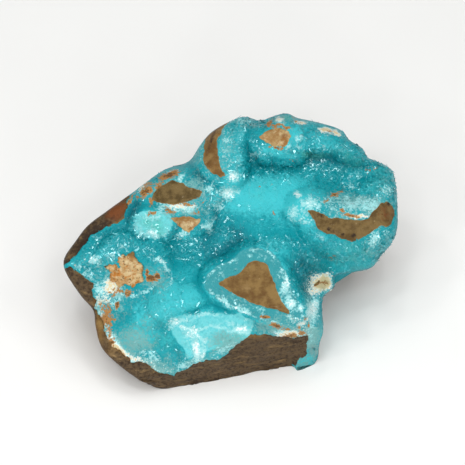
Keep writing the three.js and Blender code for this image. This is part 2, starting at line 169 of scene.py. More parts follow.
# Lobes of crust broken off flat, and two shelves over the upper hollow
lobes = {
    "upperBand": {
        "outline": [
            (17, 40), (24, 40.4), (31.5, 38), (37.8, 33.4), (42, 30.2), (38, 30.2),
            (33.4, 30.8), (30.4, 31.8), (28, 33.3), (24, 33.6), (20, 33.6), (17, 33.2),
        ],
        "centre": (28, 35), "top": -6.8, "slope": (-0.05, -0.25), "collar": 0, "shoulder": 0.5,
        "uneven": 0.4, "pale": 0, "tone": -0.08,
    },
    "topShelf": {
        "outline": [
            (7, 33.8), (10, 31.2), (14.5, 30.8), (18.3, 32.6), (19.2, 36.8), (16, 39.4), (12, 37),
        ],
        "centre": (14, 34), "top": -5.9, "slope": (0, -0.25), "collar": 0, "shoulder": 0.8,
        "uneven": 0.5, "pale": 0.25, "tone": -0.15,
    },
    "upperCollar": {
        "outline": [
            (-4.6, 41), (-2, 42.6), (0.6, 42), (1, 38), (-0.4, 34), (-0.3, 28.6), (-0.8, 24.6),
            (-3, 23.6), (-5.4, 26), (-6.4, 31), (-6.4, 36),
        ],
        "centre": (-8, 32), "top": -4.7, "slope": (0.12, -0.3), "collar": 0, "shoulder": 1.0,
        "uneven": 0.5, "pale": 0.4, "tone": -0.1,
    },
    "front": {
        "outline": [
            (-20.4, -18.9), (-15.3, -16.5), (-8.7, -15.3), (-0.6, -16.5), (3.3, -19.5),
            (1.5, -23.1), (-4, -27.5), (-9, -30.3), (-12.6, -30), (-15.3, -26.4),
            (-19.4, -22.2),
        ],
        "centre": (-9, -21), "top": 6.2, "slope": (0.06, -0.08), "collar": 0, "shoulder": 2.2,
        "uneven": 1.5, "pale": 0.8, "tone": -0.12,
    },
    "left": {
        "outline": [
            (-31.6, 9.2), (-29.8, 13.4), (-26, 14.6), (-21.4, 13.8), (-20.4, 10.5),
            (-22.6, 7.6), (-26.7, 6.8), (-30, 7.8),
        ],
        "centre": (-26, 10.5), "top": 0.4, "slope": (0.05, 0.12), "collar": 0, "shoulder": 0.9,
        "uneven": 0.6, "pale": 1, "tone": -0.1,
    },
}

# Bare rock at the rim, followed past the outline
walls = [
    [
        (-51.2, -2), (-43.5, -6.9), (-43.8, -9.6), (-43, -15.4), (-41.3, -18), (-38.8, -25),
        (-32.1, -30), (-28.7, -29.7), (-24.7, -33), (-20, -34), (-15.3, -32), (-12.6, -30),
        (-7, -29.8), (-3.3, -27), (1.4, -22.3), (4.1, -21.3), (14.1, -23), (20.2, -22),
        (19.5, -27.7), (17, -31), (16, -40), (-20, -46), (-50, -36), (-62, -6),
    ],
    [
        (-51.2, -1.2), (-48, 3), (-45.2, 7.5), (-42.6, 8.8), (-36.8, 11.4), (-34.6, 13),
        (-34.4, 17.3), (-32.8, 19.2), (-38, 22), (-58, 6), (-60, -6),
    ],
]

# Fractures at the back: azimuth, elevation, and distance from the heart where they don't just
# touch the rim
fractures = [
    (92, -4, None), (134, 2, None), (52, -12, None), (14, -22, None), (-28, -28, None),
    (170, -14, None), (206, -30, None), (240, -22, None), (104, -40, 37), (62, -46, 34),
]

# Rounded lumps of the crust, some finer than the part's source holds: at, rise, half widths,
# turn, and how much deeper the colour is on them
lumps = [
    ((7, 8.4), 1.5, (12.5, 8), -6, 0),  # two hills in the middle
    ((10, 1.2), 2.0, (8.4, 6), 0, -0.1),
    ((-5.6, 3.8), 1.6, (6.6, 5.8), 0, 0.1),
    ((8, 19), 1.0, (17, 10), 8, -0.08),  # bright floor
    ((-21.5, -13.5), 3.0, (6.3, 8), 14, -0.2),  # two halves of the left dome
    ((-13.5, -12), 2.8, (6, 6.4), -10, -0.15),
    ((-31, -21), 1.4, (9, 7), 20, 0),
    ((-25, -31), 1.0, (9, 5), 0, 0),
    ((-42, 1.5), 1.6, (7.5, 5), 12, 0),
    ((-33, 7.4), 1.2, (8, 4.4), 20, 0),
    ((-27, 1.6), 0.8, (7, 3), 0, 0),
    ((4.4, 31.6), 2.2, (4.2, 3.8), 0, -0.12),  # dome in the upper hollow
    ((24, 27.5), 1.0, (8, 3.6), -10, 0),
    ((34, 25), 1.2, (6, 4), -20, 0),
    ((42, 25), 1.5, (5, 6), 0, 0),
    ((26, 36.6), 1.8, (11, 3.8), -12, 0),
    ((38, 31), 1.4, (6, 3), -35, 0),
    ((18.5, 39.5), 1.6, (4, 3), 0, 0),
    ((18.4, 14.4), 1.6, (5, 5.6), 15, -0.08),
    ((28, 18.4), 1.2, (9, 2.6), -4, 0),
    ((-3.6, 19.8), 0.9, (4, 3), 15, 0),
    ((-9.5, 16.5), 1.0, (4, 4), 0, 0),
    ((-13, 25.5), 1.6, (5, 4), 30, 0),
    ((-11, 12), 0.8, (3, 3.4), 0, 0),
    ((24, 1.5), 1.2, (7, 4.5), -10, 0),
    ((34, 2.5), 1.2, (6, 4), 0, 0),
    ((42, 5), 1.4, (4.5, 5), 0, 0),
    ((21.5, -19), 1.4, (3.6, 9), 0, 0),
    ((22.5, -13), 1.2, (3.5, 5), 0, 0),
    ((-36, -14), 1.0, (5, 5), 0, 0),
    ((-14.5, 7.5), 0.8, (3.4, 2.6), 0, 0),
]


# Helpers


# Steps up from 0 to 1 between low and high as 3x^2 - 2x^3
def smoothStep(x, low, high):
    t = np.clip((x - low) / (high - low), 0, 1)
    return t * t * (3 - 2 * t)


# From a to b in proportion: a + (b - a) share
def mix(a, b, share):
    return a + (b - a) * share


# The larger of two heights, joined by a parabola where they are within blend of each other
def smoothMax(a, b, blend):
    share = np.clip(0.5 + 0.5 * (a - b) / blend, 0, 1)
    return b + (a - b) * share + blend * share * (1 - share)


# One number from 0 to 1 for each lattice point: its whole coordinates, times large primes, mixed
def latticeValue(cell, seed):
    n = cell.astype(np.int64).astype(np.uint32)
    h = n[..., 0] * np.uint32(73856093) ^ n[..., 1] * np.uint32(19349663)
    h = h ^ n[..., 2] * np.uint32(83492791) ^ np.uint32(seed * 374761393 % 4294967296)
    h = (h ^ (h >> np.uint32(13))) * np.uint32(1274126177)
    return (h ^ (h >> np.uint32(16))).astype(float) / 4294967295


# Value noise from -1 to 1: the values at a cell's eight corners, eased between them
def noise(points, size, seed=0):
    q = points / size
    cell = np.floor(q)
    t = q - cell
    t = t * t * (3 - 2 * t)
    total = 0
    for corner in np.ndindex(2, 2, 2):
        corner = np.array(corner)
        weight = np.prod(np.where(corner, t, 1 - t), axis=-1)
        total = total + weight * latticeValue(cell + corner, seed)
    return 2 * total - 1


# Sum of noises, each half as large and half as strong as the last
def layeredNoise(points, size, layers=3, seed=0):
    return sum(noise(points, size / 2**i, seed + i) / 2**i for i in range(layers)) / 1.6


# Distance to the nearest of points strewn one to a cell, in cells
def cellDistance(points, size, seed=0):
    q = points / size
    cell = np.floor(q)
    nearest = np.full(points.shape[:-1], 9.0)
    for step in np.ndindex(3, 3, 3):
        near = cell + (np.array(step) - 1)
        spot = near + np.stack([latticeValue(near, seed + k) for k in (11, 12, 13)], -1)
        nearest = np.minimum(nearest, np.linalg.norm(q - spot, axis=-1))
    return nearest


# Closed centripetal Catmull-Rom curve through points in the plane, steps points to a span
def closedCurve(points, steps):
    p = np.array(points, float)
    p0, p1, p2, p3 = (np.roll(p, k, 0) for k in (1, 0, -1, -2))
    d0, d1, d2 = (
        np.sqrt(np.linalg.norm(b - a, axis=1))[:, None] for a, b in ((p0, p1), (p1, p2), (p2, p3))
    )
    m1 = ((p1 - p0) / d0 - (p2 - p0) / (d0 + d1) + (p2 - p1) / d1) * d1
    m2 = ((p2 - p1) / d1 - (p3 - p1) / (d1 + d2) + (p3 - p2) / d2) * d1
    t = (np.arange(steps) / steps)[None, :, None]
    p1, p2, m1, m2 = (a[:, None, :] for a in (p1, p2, m1, m2))
    curve = p1 + m1 * t + (3 * (p2 - p1) - 2 * m1 - m2) * t**2 + (2 * (p1 - p2) + m1 + m2) * t**3
    return curve.reshape(-1, 2)


# Distance to a closed outline, negative inside it: least over its edges, side by ray crossings
def outsideOf(outline, u, v):
    nearest = np.full(u.shape, 1e9)
    inside = np.zeros(u.shape, bool)
    for a, b in zip(outline, np.roll(outline, -1, 0)):
        du, dv = b - a
        along = np.clip(((u - a[0]) * du + (v - a[1]) * dv) / (du * du + dv * dv), 0, 1)
        nearest = np.minimum(nearest, (u - a[0] - along * du) ** 2 + (v - a[1] - along * dv) ** 2)
        if dv:
            inside ^= ((a[1] > v) != (b[1] > v)) & (u < a[0] + du * (v - a[1]) / dv)
    return np.where(inside, -1, 1) * np.sqrt(nearest)


# Place in an ellipse: 0 at its middle, 1 on its edge, from its centre, half widths and turn
def ellipsePlace(u, v, at, spread, turn):
    c, s = cos(radians(turn)), sin(radians(turn))
    along = ((u - at[0]) * c + (v - at[1]) * s) / spread[0]
    across = ((v - at[1]) * c - (u - at[0]) * s) / spread[1]
    return np.sqrt(along**2 + across**2)


# Strongest of several soft spots at each point: strength times a bell in each ellipse
def spotStrength(spots, u, v):
    total = np.zeros(u.shape)
    for at, spread, turn, strength in spots:
        total = np.maximum(total, strength * np.exp(-ellipsePlace(u, v, at, spread, turn) ** 2))
    return total


# Distance to a line through points: least over its pieces, each to its nearest place
def lineDistance(points, u, v):
    nearest = np.full(u.shape, 1e9)
    for (startU, startV), (endU, endV) in zip(points, points[1:]):
        alongU, alongV = endU - startU, endV - startV
        share = ((u - startU) * alongU + (v - startV) * alongV) / (alongU**2 + alongV**2)
        share = np.clip(share, 0, 1)
        away = np.hypot(u - startU - share * alongU, v - startV - share * alongV)
        nearest = np.minimum(nearest, away)
    return nearest


# Sum of plateaus with soft edges: each its change times exp(-r^4)
def plateauSum(spots, u, v):
    total = np.zeros(u.shape)
    for at, spread, turn, change in spots:
        total = total + change * np.exp(-ellipsePlace(u, v, at, spread, turn) ** 4)
    return total


# The block's shape

faceSin, faceCos = sin(radians(block["elevation"])), cos(radians(block["elevation"]))
faceOut = np.array([0, -faceCos, faceSin])
faceUp = np.array([0, faceSin, faceCos])
heart = np.array(block["heart"], float)
shift = np.array([*block["shift"], 0])


# From the face's own frame to space: u along x, v up the tilted face and w out of it
def onFace(u, v, w):
    return np.stack([u, v * faceSin - w * faceCos, block["height"] + v * faceCos + w * faceSin], -1)


# From space back to the face's own frame: v and w are products with its up and out directions
def offFace(points):
    low = points - np.array([0, 0, block["height"]])
    return points[..., 0], low @ faceUp, low @ faceOut


# Unit direction from its angle round the vertical and its angle above the ground
def facing(azimuth, elevation):
    a, e = radians(azimuth), radians(elevation)
    return np.array([cos(e) * cos(a), cos(e) * sin(a), sin(e)])


# Point (u, v, 0), where the noise of the face is read
def flatPoint(u, v):
    return np.stack([u, v, np.zeros(u.shape)], -1)


rim = closedCurve(rimPoints, 4)
rimAngles = np.arctan2(rim[:, 1], rim[:, 0])
rimOrder = np.argsort(rimAngles)
for form in [*knobs.values(), *lobes.values()]:
    form["edge"] = closedCurve(form["outline"], 3)
wallEdges = [closedCurve(w, 1) for w in walls]


# The rim's distance from the middle at an angle, straight between its points
def rimRadius(angle):
    lengths = np.linalg.norm(rim, axis=1)[rimOrder]
    return np.interp(angle, rimAngles[rimOrder], lengths, period=2 * pi)


# 1 where the crust runs round the rim and 0 where rock is bare there: a soft step up, less another
def crustedShare(u, v):
    angle = np.degrees(np.arctan2(v, u))
    return smoothStep(angle, *block["crustedFrom"]) - smoothStep(angle, *block["crustedTo"])


relief = {
    "blend": 0.5,  # over which one form runs into the next
    "wander": (5, 1.0),  # size and reach of the waver in every edge
    "undulation": (7, 0.5),  # size and height of the crust's own swells
    "bumps": (2.2, 0.16),  # and of finer ones
    "grain": (0.9, 0.06),
    "facets": (3.2, 0.8),  # of the broken lobes
    "edgeWander": ((3.2, 0.5), (1.0, 0.25)),  # of the bare outlines
    "ragged": (2.0, 3.4),  # more of the same round the roughest knob
}


# Leaned plane plus a bell for each swell, then a rounded cap for each lump, then the broken
# planes, each falling off in a parabola beyond its collar, less a quarter round at the rim. With
# the height come how pale the broken lobes and collars are there, the place across a collar, the
# tone, and the distance inside the rim.
def displayHeight(u, v, fine=True):
    height = block["lean"] * v
    for at, rise, spread, turn in swells:
        height = height + rise * np.exp(-ellipsePlace(u, v, at, spread, turn) ** 2)
    tone, lobe, ring = (np.zeros(u.shape) for k in range(3))
    collar = np.full(u.shape, 9.0)
    if fine:
        size, reach = relief["wander"]
        waverU = u + reach * noise(flatPoint(u, v), size, 51)
        waverV = v + reach * noise(flatPoint(u, v), size, 52)
        cap = np.zeros(u.shape)
        for at, rise, spread, turn, change in lumps:
            place = ellipsePlace(waverU, waverV, at, spread, turn)
            cap = np.maximum(cap, rise * (1 - place**2))
            tone = tone + change * (1 - smoothStep(place, 0.93, 1.03))
        height = height + smoothMax(cap, np.zeros(u.shape), 0.25)
    unevenness = noise(flatPoint(u, v), 6, 53) + 0.4 * noise(flatPoint(u, v), 2, 54) if fine else 0
    for form in [*lobes.values(), *knobs.values()]:
        plane = form["top"] + form["slope"][0] * (u - form["centre"][0])
        plane = plane + form["slope"][1] * (v - form["centre"][1])
        away = outsideOf(form["edge"], u, v) + form["uneven"] * unevenness
        beyond = np.maximum(away - form["collar"], 0)
        plane = plane - beyond**2 / (2 * form["shoulder"])
        shown = smoothStep(plane - height, -3, -1) * (1 - smoothStep(beyond, 0.1, 0.6))
        tone = tone + form["tone"] * shown
        if form["collar"]:
            ring = np.maximum(ring, shown * form["pale"])
            collar = np.where(shown > 0.01, np.minimum(collar, away / form["collar"]), collar)
        else:
            lobe = np.maximum(lobe, shown * form["pale"])
        height = smoothMax(height, plane, relief["blend"])
    share = crustedShare(u, v)
    width = mix(block["rollBare"][0], block["rollCrusted"][0], share)
    drop = mix(block["rollBare"][1], block["rollCrusted"][1], share)
    inside = -outsideOf(rim, u, v)
    near = np.clip(1 - inside / width, 0, 1)
    height = height - drop * (1 - np.sqrt(1 - near**2))
    return height, {"lobe": lobe, "ring": ring, "collar": collar, "tone": tone, "inside": inside}


# Height at which a line along w meets the front wall: what is left of the wall's distance
def wallHeight(u, v):
    azimuth, distance = block["frontWall"]
    normal = facing(azimuth, 0)
    return (distance - u * normal[0] - v * (normal @ faceUp)) / (normal @ faceOut)


# Height at which a line along w meets the ground
def groundHeight(v):
    return -(block["height"] + v * faceCos) / faceSin


# Signed distance to bare rock, negative on it, along an edge that wanders with two noises
def bareDistance(u, v):
    flat = flatPoint(u, v)
    for size, reach in relief["edgeWander"]:
        u = u + reach * noise(flat, size, 31)
        v = v + reach * noise(flat, size, 37)
    ragged = relief["ragged"][1] * layeredNoise(flat, relief["ragged"][0], 3, 33)
    edges = [(form["edge"], form["finish"][2]) for form in knobs.values()]
    edges += [(edge, 0.25) for edge in wallEdges]
    return np.min([outsideOf(edge, u, v) + rough * ragged for edge, rough in edges], axis=0)


# The display side at (u, v): the smooth height cut by the front wall, with noises added that die
# out at the rim and on the wall, and what the masks need to know there
def displaySide(u, v):
    flat = flatPoint(u, v)
    smooth, side = displayHeight(u, v)
    onWall = smoothStep(smooth - wallHeight(u, v), -0.3, 0.5)
    rough = relief["undulation"][1] * noise(flat, relief["undulation"][0], 3)
    rough = rough + relief["bumps"][1] * noise(flat, relief["bumps"][0], 5)
    grain = relief["grain"][1] * noise(flat, relief["grain"][0], 7)
    cut = np.maximum(side["lobe"], side["ring"])
    facets = relief["facets"][1] * layeredNoise(flat, relief["facets"][0], 2, 9)
    rough = rough * (1 - 0.6 * cut) + grain * (1 + 1.5 * cut) + facets * side["lobe"]
    rough = rough * smoothStep(side["inside"], 0, 3) * (1 - onWall)
    height = np.minimum(smooth, wallHeight(u, v)) + rough
    height = np.maximum(height, groundHeight(v))
    side["lobe"], side["ring"] = side["lobe"] * (1 - onWall), side["ring"] * (1 - onWall)
    return side | {"height": height, "onWall": onWall, "bare": bareDistance(u, v)}


rimInSpace = onFace(rim[:, 0], rim[:, 1], displayHeight(rim[:, 0], rim[:, 1], False)[0])
heartU, heartV = offFace(heart)[:2]
heartAngles = np.arctan2(rim[:, 1] - heartV, rim[:, 0] - heartU)
heartOrder = np.argsort(heartAngles)


# How far a direction can go from the heart before it leaves the outline, seen along w
def outlineReach(direction):
    across, up = direction[..., 0], direction @ faceUp
    lengths = np.hypot(rim[:, 0] - heartU, rim[:, 1] - heartV)[heartOrder]
    radius = np.interp(np.arctan2(up, across), heartAngles[heartOrder], lengths, period=2 * pi)
    return radius / np.maximum(np.hypot(across, up), 1e-6)


# The back, seen from the heart along directions that swing from the rim to straight down: the
# planes' distances are joined by a high power mean, and the front wall and the ground cut it.
# With its points come those directions, how far the crust covers it, and where the rim has crust.
def backSkin(angles, shares):
    radius = rimRadius(angles)
    u, v = radius * np.cos(angles), radius * np.sin(angles)
    height = displayHeight(u, v)[0]
    rimPoint = onFace(u, v, height) - heart
    rimReach = np.linalg.norm(rimPoint, axis=-1)
    outward = rimPoint / rimReach[:, None]
    down = np.array([0, 0, -1.0])
    sweep = np.arccos(np.clip(outward @ down, -1, 1))[None, :, None]
    share = shares[:, None, None]
    direction = np.sin((1 - share) * sweep) * outward + np.sin(share * sweep) * down
    direction = direction / np.sin(sweep)
    total = 0
    for azimuth, elevation, distance in fractures:
        normal = facing(azimuth, elevation)
        touch = (rimInSpace @ normal).max() - normal @ heart
        towards = np.maximum(direction @ normal, 0) / (distance or touch)
        total = total + towards ** block["fractureSharpness"]
    planes = total ** (-1 / block["fractureSharpness"])
    reach = mix(rimReach, planes, smoothStep(shares, 0, 0.3)[:, None])
    reach = np.minimum(reach, outlineReach(direction))
    azimuth, distance = block["frontWall"]
    normal = facing(azimuth, 0)
    toWall = (distance - normal @ heart) / np.maximum(direction @ normal, 1e-6)
    toGround = heart[2] / np.maximum(-direction[..., 2], 1e-6)
    reach = np.minimum(np.minimum(reach, toWall), toGround)
    run = shares[:, None] * sweep[..., 0] * rimReach
    outer = heart + direction * reach[..., None]
    ended = smoothStep(run, block["wrap"], block["wrap"] + block["wrapEnd"])
    ended = np.maximum(ended, 1 - smoothStep(outer[..., 2], 1.5, 5))
    covered = crustedShare(u, v)
    cover = covered * (1 - ended) + 0.12 * noise(outer, 3, 41)
    return outer, direction, cover, covered


# Square grid on to the outline: Shirley and Chiu's concentric map, times the rim's radius
def outlineGrid(n):
    a, b = np.meshgrid(np.linspace(-1, 1, n + 1), np.linspace(-1, 1, n + 1))
    swap = np.abs(b) > np.abs(a)
    radius = np.where(swap, b, a)
    ratio = np.divide(np.where(swap, a, b), radius, out=np.zeros_like(a), where=radius != 0)
    angle = np.where(swap, pi / 2 - ratio * pi / 4, ratio * pi / 4) + np.where(radius < 0, pi, 0)
    reach = np.abs(radius) * rimRadius(angle)
    return reach * np.cos(angle), reach * np.sin(angle), angle


# The grid's border, once round anticlockwise
def borderLoop(n):
    side = np.arange(n)
    row = n + 1
    return np.concatenate([side, side * row + n, n * row + n - side, (n - side) * row])


# Grid in front, loops behind it and a last point, as one closed mesh
def closedMesh(name, points, n, loopCount):
    row = n + 1
    count = 4 * n
    start = np.arange(row * row).reshape(row, row)[:-1, :-1].ravel()
    quads = [np.stack([start, start + 1, start + row + 1, start + row], -1)]
    rings = [borderLoop(n)] + [row * row + k * count + np.arange(count) for k in range(loopCount)]
    for upper, lower in zip(rings, rings[1:]):
        quads.append(np.stack([upper, lower, np.roll(lower, -1), np.roll(upper, -1)], -1))
    last = rings[-1]
    fan = np.stack([last, np.full(count, len(points) - 1), np.roll(last, -1)], -1)
    return meshPiece(name, points, np.concatenate(quads), fan)


# Points in mm go into the mesh in metres, kept inside the box of the part's solids
def meshPiece(name, points, quads, triangles, smooth=True):
    low = np.array(cadBox[0]) + 0.02 * mm
    low[2] = 0
    points = np.clip((points + shift) * mm, low, np.array(cadBox[1]) - 0.02 * mm)
    mesh = bpy.data.meshes.new(name)
    mesh.vertices.add(len(points))
    mesh.vertices.foreach_set("co", points.ravel())
    corners = np.concatenate([quads.ravel(), triangles.ravel()])
    mesh.loops.add(len(corners))
    mesh.loops.foreach_set("vertex_index", corners.astype(np.int32))
    sizes = np.concatenate([np.full(len(quads), 4), np.full(len(triangles), 3)])
    mesh.polygons.add(len(sizes))
    mesh.polygons.foreach_set("loop_start", (np.cumsum(sizes) - sizes).astype(np.int32))
    mesh.polygons.foreach_set("use_smooth", np.full(len(sizes), smooth))
    mesh.update(calc_edges=True)
    piece = bpy.data.objects.new(name, mesh)
    bpy.context.scene.collection.objects.link(piece)
    return piece


# One number for each vertex, which the materials read
def setAttribute(piece, name, values):
    layer = piece.data.attributes.new(name, "FLOAT", "POINT")
    layer.data.foreach_set("value", values.astype(np.float32).ravel())


# Values on the grid, then a fill for every point behind it
def padded(values, fill, count):
    return np.concatenate([values.ravel(), np.full(count - values.size, fill)])


print("shape functions ready")

# The rock

rockPiece = {
    "cells": 176,  # across the display side
    "rows": 80,  # round the back
    "wear": (9, 0.9),  # size and depth of the broad wear on the back
    "layers": (2.6, 0.55),  # spacing and depth of the rock's layers
    "dip": 0.16,  # rise of the layers for each mm to the right
    "bends": ((14, 1.1), (4, 0.3)),  # size and height of the waves in them
    "pits": (2.4, 0.3),
    "kept": (0.12, 0.9),  # share of all this wear on the knobs and on the front wall
    "underCrust": 0.12,  # rock lies this far under the crust's face where both show
    "plunge": 1.6,  # how steeply it goes down under the crust from there
    "inset": (6, 4),  # near the rim, and how far in it lies under crust that runs round
    "lumpy": (1.6, 1.3),  # size and height of the lumps on the rough knob
}

# Places on the rock: centre, half widths, turn and strength
lightSpots = [
    ((-42, -20.5), (2, 5), -8, 1.3), ((-39, -27), (2, 2), 0, 0.4), ((4, -22.6), (4, 0.8), -5, 0.7),
]
# Very dark: the rock's own black specks, and painted shade along the left side and the front foot
speckAndShadeSpots = [
    ((-45, 5.6), (8.5, 3.2), 48, 1.1), ((-50.5, -1), (3, 4), 0, 0.8), ((-40, 11), (5, 2), 40, 0.7),
    ((-44, -16), (1.6, 2.4), 0, 0.9), ((-12.5, -36.4), (2.4, 1), 0, 0.9),
    ((-8.5, 36), (0.7, 5), -20, 0.7), ((-9.6, 29), (1.2, 1.6), 0, 0.5),
    ((23, 12.6), (1.6, 2.4), -40, 0.6), ((28, 8.6), (3.4, 0.8), -20, 0.7),
    ((44.4, 17), (1, 1), 0, 0.9), ((26.4, 9.3), (0.8, 0.7), 0, 1.2),
    ((30.6, 7.8), (0.7, 0.6), 0, 1.1), ((33.8, 7.4), (0.9, 0.7), 0, 1.1),
    ((24.4, 13.2), (1.4, 0.6), -40, 0.9), ((18, -25), (3, 5), 0, 0.3),
]
redSpots = [
    ((-37, 14.4), (4.4, 2.6), 42, 1.1), ((43.6, 14), (4.4, 4), 0, 0.55),
    ((35, 12.6), (5, 1), -10, 0.7), ((-9, 34), (1.4, 6), -12, 0.35), ((13.4, 37), (2, 1.4), 0, 0.6),
    ((-26, -8), (3, 3), 0, 0.4),
]


# How far the skin of bare rock is worn in: broad wear, layers across the dip, and round pits
def rockWear(points):
    size, depth = rockPiece["wear"]
    broad = depth * (0.5 + 0.5 * layeredNoise(points, size, 3, 61))
    spacing, cut = rockPiece["layers"]
    bent = points[..., 2] - rockPiece["dip"] * points[..., 0]
    for (size, rise), seed in zip(rockPiece["bends"], (63, 64)):
        bent = bent + rise * noise(points, size, seed)
    step = bent / spacing - np.floor(bent / spacing)
    layered = cut * smoothStep(step, 0.1, 0.5) * (0.5 + 0.5 * noise(points, 6, 65))
    pits = 1 - smoothStep(cellDistance(points, rockPiece["pits"][0], 67), 0.1, 0.55)
    pits = rockPiece["pits"][1] * pits * smoothStep(noise(points, 5, 69), 0, 0.6)
    return broad + layered + pits


# Rock lies a hair under the crust's face where it is bare, and the crust's thickness under it
# where it is covered
gridU, gridV, gridAngle = outlineGrid(rockPiece["cells"])
side = displaySide(gridU, gridV)
buried = rockPiece["underCrust"] + rockPiece["plunge"] * np.maximum(side["bare"], 0)
rockTop = side["height"] - np.minimum(buried, block["crust"])

# Finish of each knob, spread to the points inside its outline and a little past it
knobOlive, knobTan, knobRough = (np.zeros(gridU.shape) for k in range(3))
for form in knobs.values():
    within = 1 - smoothStep(outsideOf(form["edge"], gridU, gridV), 0.5, 1.5)
    knobOlive = np.maximum(knobOlive, within * form["finish"][0])
    knobTan = np.maximum(knobTan, within * form["finish"][1])
    knobRough = np.maximum(knobRough, within * form["finish"][2])

crumbs = 0.35 - cellDistance(flatPoint(gridU, gridV), rockPiece["lumpy"][0], 71)
rockTop = rockTop + knobRough * rockPiece["lumpy"][1] * crumbs
rockTop = np.minimum(rockTop, wallHeight(gridU, gridV))
nearRim = 1 - smoothStep(side["inside"], 0, rockPiece["inset"][0])
inset = rockPiece["inset"][1] * nearRim * np.clip(buried / block["crust"], 0, 1)
inset = inset * crustedShare(gridU, gridV) / np.maximum(np.hypot(gridU, gridV), 1)
front = onFace(gridU * (1 - inset), gridV * (1 - inset), rockTop)
bareHere = smoothStep(-side["bare"], 0.0, 1.2)
worn = rockWear(front) * bareHere * mix(*rockPiece["kept"], side["onWall"])
wallOut = facing(block["frontWall"][0], 0)
front = front - worn[..., None] * mix(faceOut, wallOut, side["onWall"][..., None])

# The back, from the rim to the middle of the base, is worn in and flat where it meets the ground
loop = borderLoop(rockPiece["cells"])
shares = np.linspace(0, 1, rockPiece["rows"] + 2)[1:-1]
outer, direction, cover, covered = backSkin(gridAngle.ravel()[loop], shares)
under = block["crust"] * smoothStep(cover, 0.16, 0.5)
worn = rockWear(outer) * smoothStep(shares, 0, 0.06)[:, None]
back = outer - direction * (under + worn)[..., None]
backU, backV, backW = offFace(back)
back = onFace(backU, backV, np.minimum(backW, rockTop.ravel()[loop]))  # no higher than its rim
back[..., 2] = np.where(outer[..., 2] < 0.01, 0, np.maximum(back[..., 2], 0))
rockPoints = np.concatenate([front.reshape(-1, 3), back.reshape(-1, 3), [[heart[0], heart[1], 0]]])
rock = closedMesh("limoniteRock", rockPoints, rockPiece["cells"], rockPiece["rows"])

# What the rock's material reads at each point
inWalls = np.max([-outsideOf(edge, gridU, gridV) for edge in wallEdges], axis=0)
wallFace = np.maximum(side["onWall"], smoothStep(inWalls, -0.6, 0.6))
rockU, rockV = offFace(rockPoints)[:2]
knobEdges = [outsideOf(form["edge"], gridU, gridV) for form in knobs.values()]
knobEdge = np.where(np.min(knobEdges, axis=0) < 1.2, side["bare"], -9)
count = len(rockPoints)
rockMasks = {
    "wallFace": padded(wallFace, 1, count) - spotStrength(lightSpots, rockU, rockV),
    "olive": padded(knobOlive, 0, count),
    "tan": padded(knobTan, 0, count),
    "rough": padded(knobRough, 0, count),
    "burnt": spotStrength(speckAndShadeSpots, rockU, rockV),
    "red": spotStrength(redSpots, rockU, rockV),
    "edge": padded(knobEdge, -9, count),  # distance from bare rock at a knob's outline
}
for name, values in rockMasks.items():
    setAttribute(rock, name, values)
print("rock", len(rock.data.polygons), "faces")

# The crust

crustPiece = {
    "cells": 256,  # across the display side
    "wrapRows": 14,  # round the rim
    "wrapShares": (0.012, 0.34),  # of the way from the rim to straight down
    "wrapBumps": ((5, 0.45), (1.8, 0.2)),  # size and height
    "wrapDepth": (2.0, 0.4),  # under the block's skin: more where rock is bare, and everywhere
    "underRows": 16,  # across the underside
    "underShares": (0.92, 0.08),  # of the rim's radius
    "spare": 1.5,  # of its underside below the rock's face
    "dive": 2.0,  # how steeply the crust goes under at bare rock
    "deepest": 2.5,
    "pull": 2.4,  # how far in the rim goes for each mm that it dives
    "granules": (1.5, 0.55),  # size and height of the coarse grains at the front border
    "hollows": ((4.5, 0.25), (1.8, 0.9)),  # radius of a ring and the weight of its mean
    "hollowRange": (-0.35, 0.9),
    # painted shade, with the thicker crust's deeper colour: how much the hollowness deepens it
    "hollowShade": 0.22,  # how much deeper the colour is in a hollow
    "chalk": {"frost": 0.4, "rust": 0.45, "cream": 0.45},  # what a chalky edge adds to these
    "waver": (3, 1.3),  # size and reach of what bends the spots' outlines
}

# How deep the crust's colour is: 0.5 and these plateaus, each centre, half widths, turn, change.
# Besides the crust's own patches, the rises in valleys and under the upper rim are painted shade
toneAndShadeSpots = [
    ((9, 20), (12.5, 6.5), 12, -0.42), ((14, 14), (6, 4), -20, -0.2), ((-1, 22.5), (4, 3), 0, -0.2),
    ((-19, -11.5), (8.6, 5), 6, -0.3), ((-27, -15), (5, 3.6), 10, -0.3),
    ((-14, -3.5), (6, 2.6), 10, -0.1), ((10, 2), (8, 4.5), 0, -0.08),
    ((12, 10), (8, 3), -10, -0.08), ((-43, 4), (6, 3), 30, -0.08), ((18.5, -32), (4, 4), 0, -0.4),
    ((26, 31), (12, 1.8), -8, 0.3), ((30, 24.5), (12, 4), -12, -0.2), ((4, 33), (5.6, 6), 0, 0.1),
    ((1, 27.5), (2.6, 4), 20, 0.1), ((-5, 4.5), (7.6, 5.6), 0, 0.2),
    ((-1, 10), (4.6, 2.4), -35, 0.2), ((-20, 2.4), (15, 3.4), -9, 0.02),
    ((19, -5), (3.2, 7), 14, 0.32), ((-10.5, -7.5), (3.6, 4), -40, 0.2),
    ((-31.5, 15), (1.8, 3.2), -35, 0.5), ((-9.5, 13.5), (2.6, 3.4), 30, 0.25),
    ((28, 2), (11, 4), 4, 0.1), ((38, 3), (5, 4), 0, 0.12), ((17, 2.5), (2, 6), 20, 0.2),
    ((-27, -24), (9, 6), 0, -0.16), ((46, 15), (2, 6), 0, 0.2), ((-1, 39), (3, 6), 0, 0.1),
    ((-13, 22.8), (4, 3.4), 20, 0.5), ((-24, 24), (5, 2), 30, 0.2), ((34, 34), (8, 3), -35, 0.06),
]

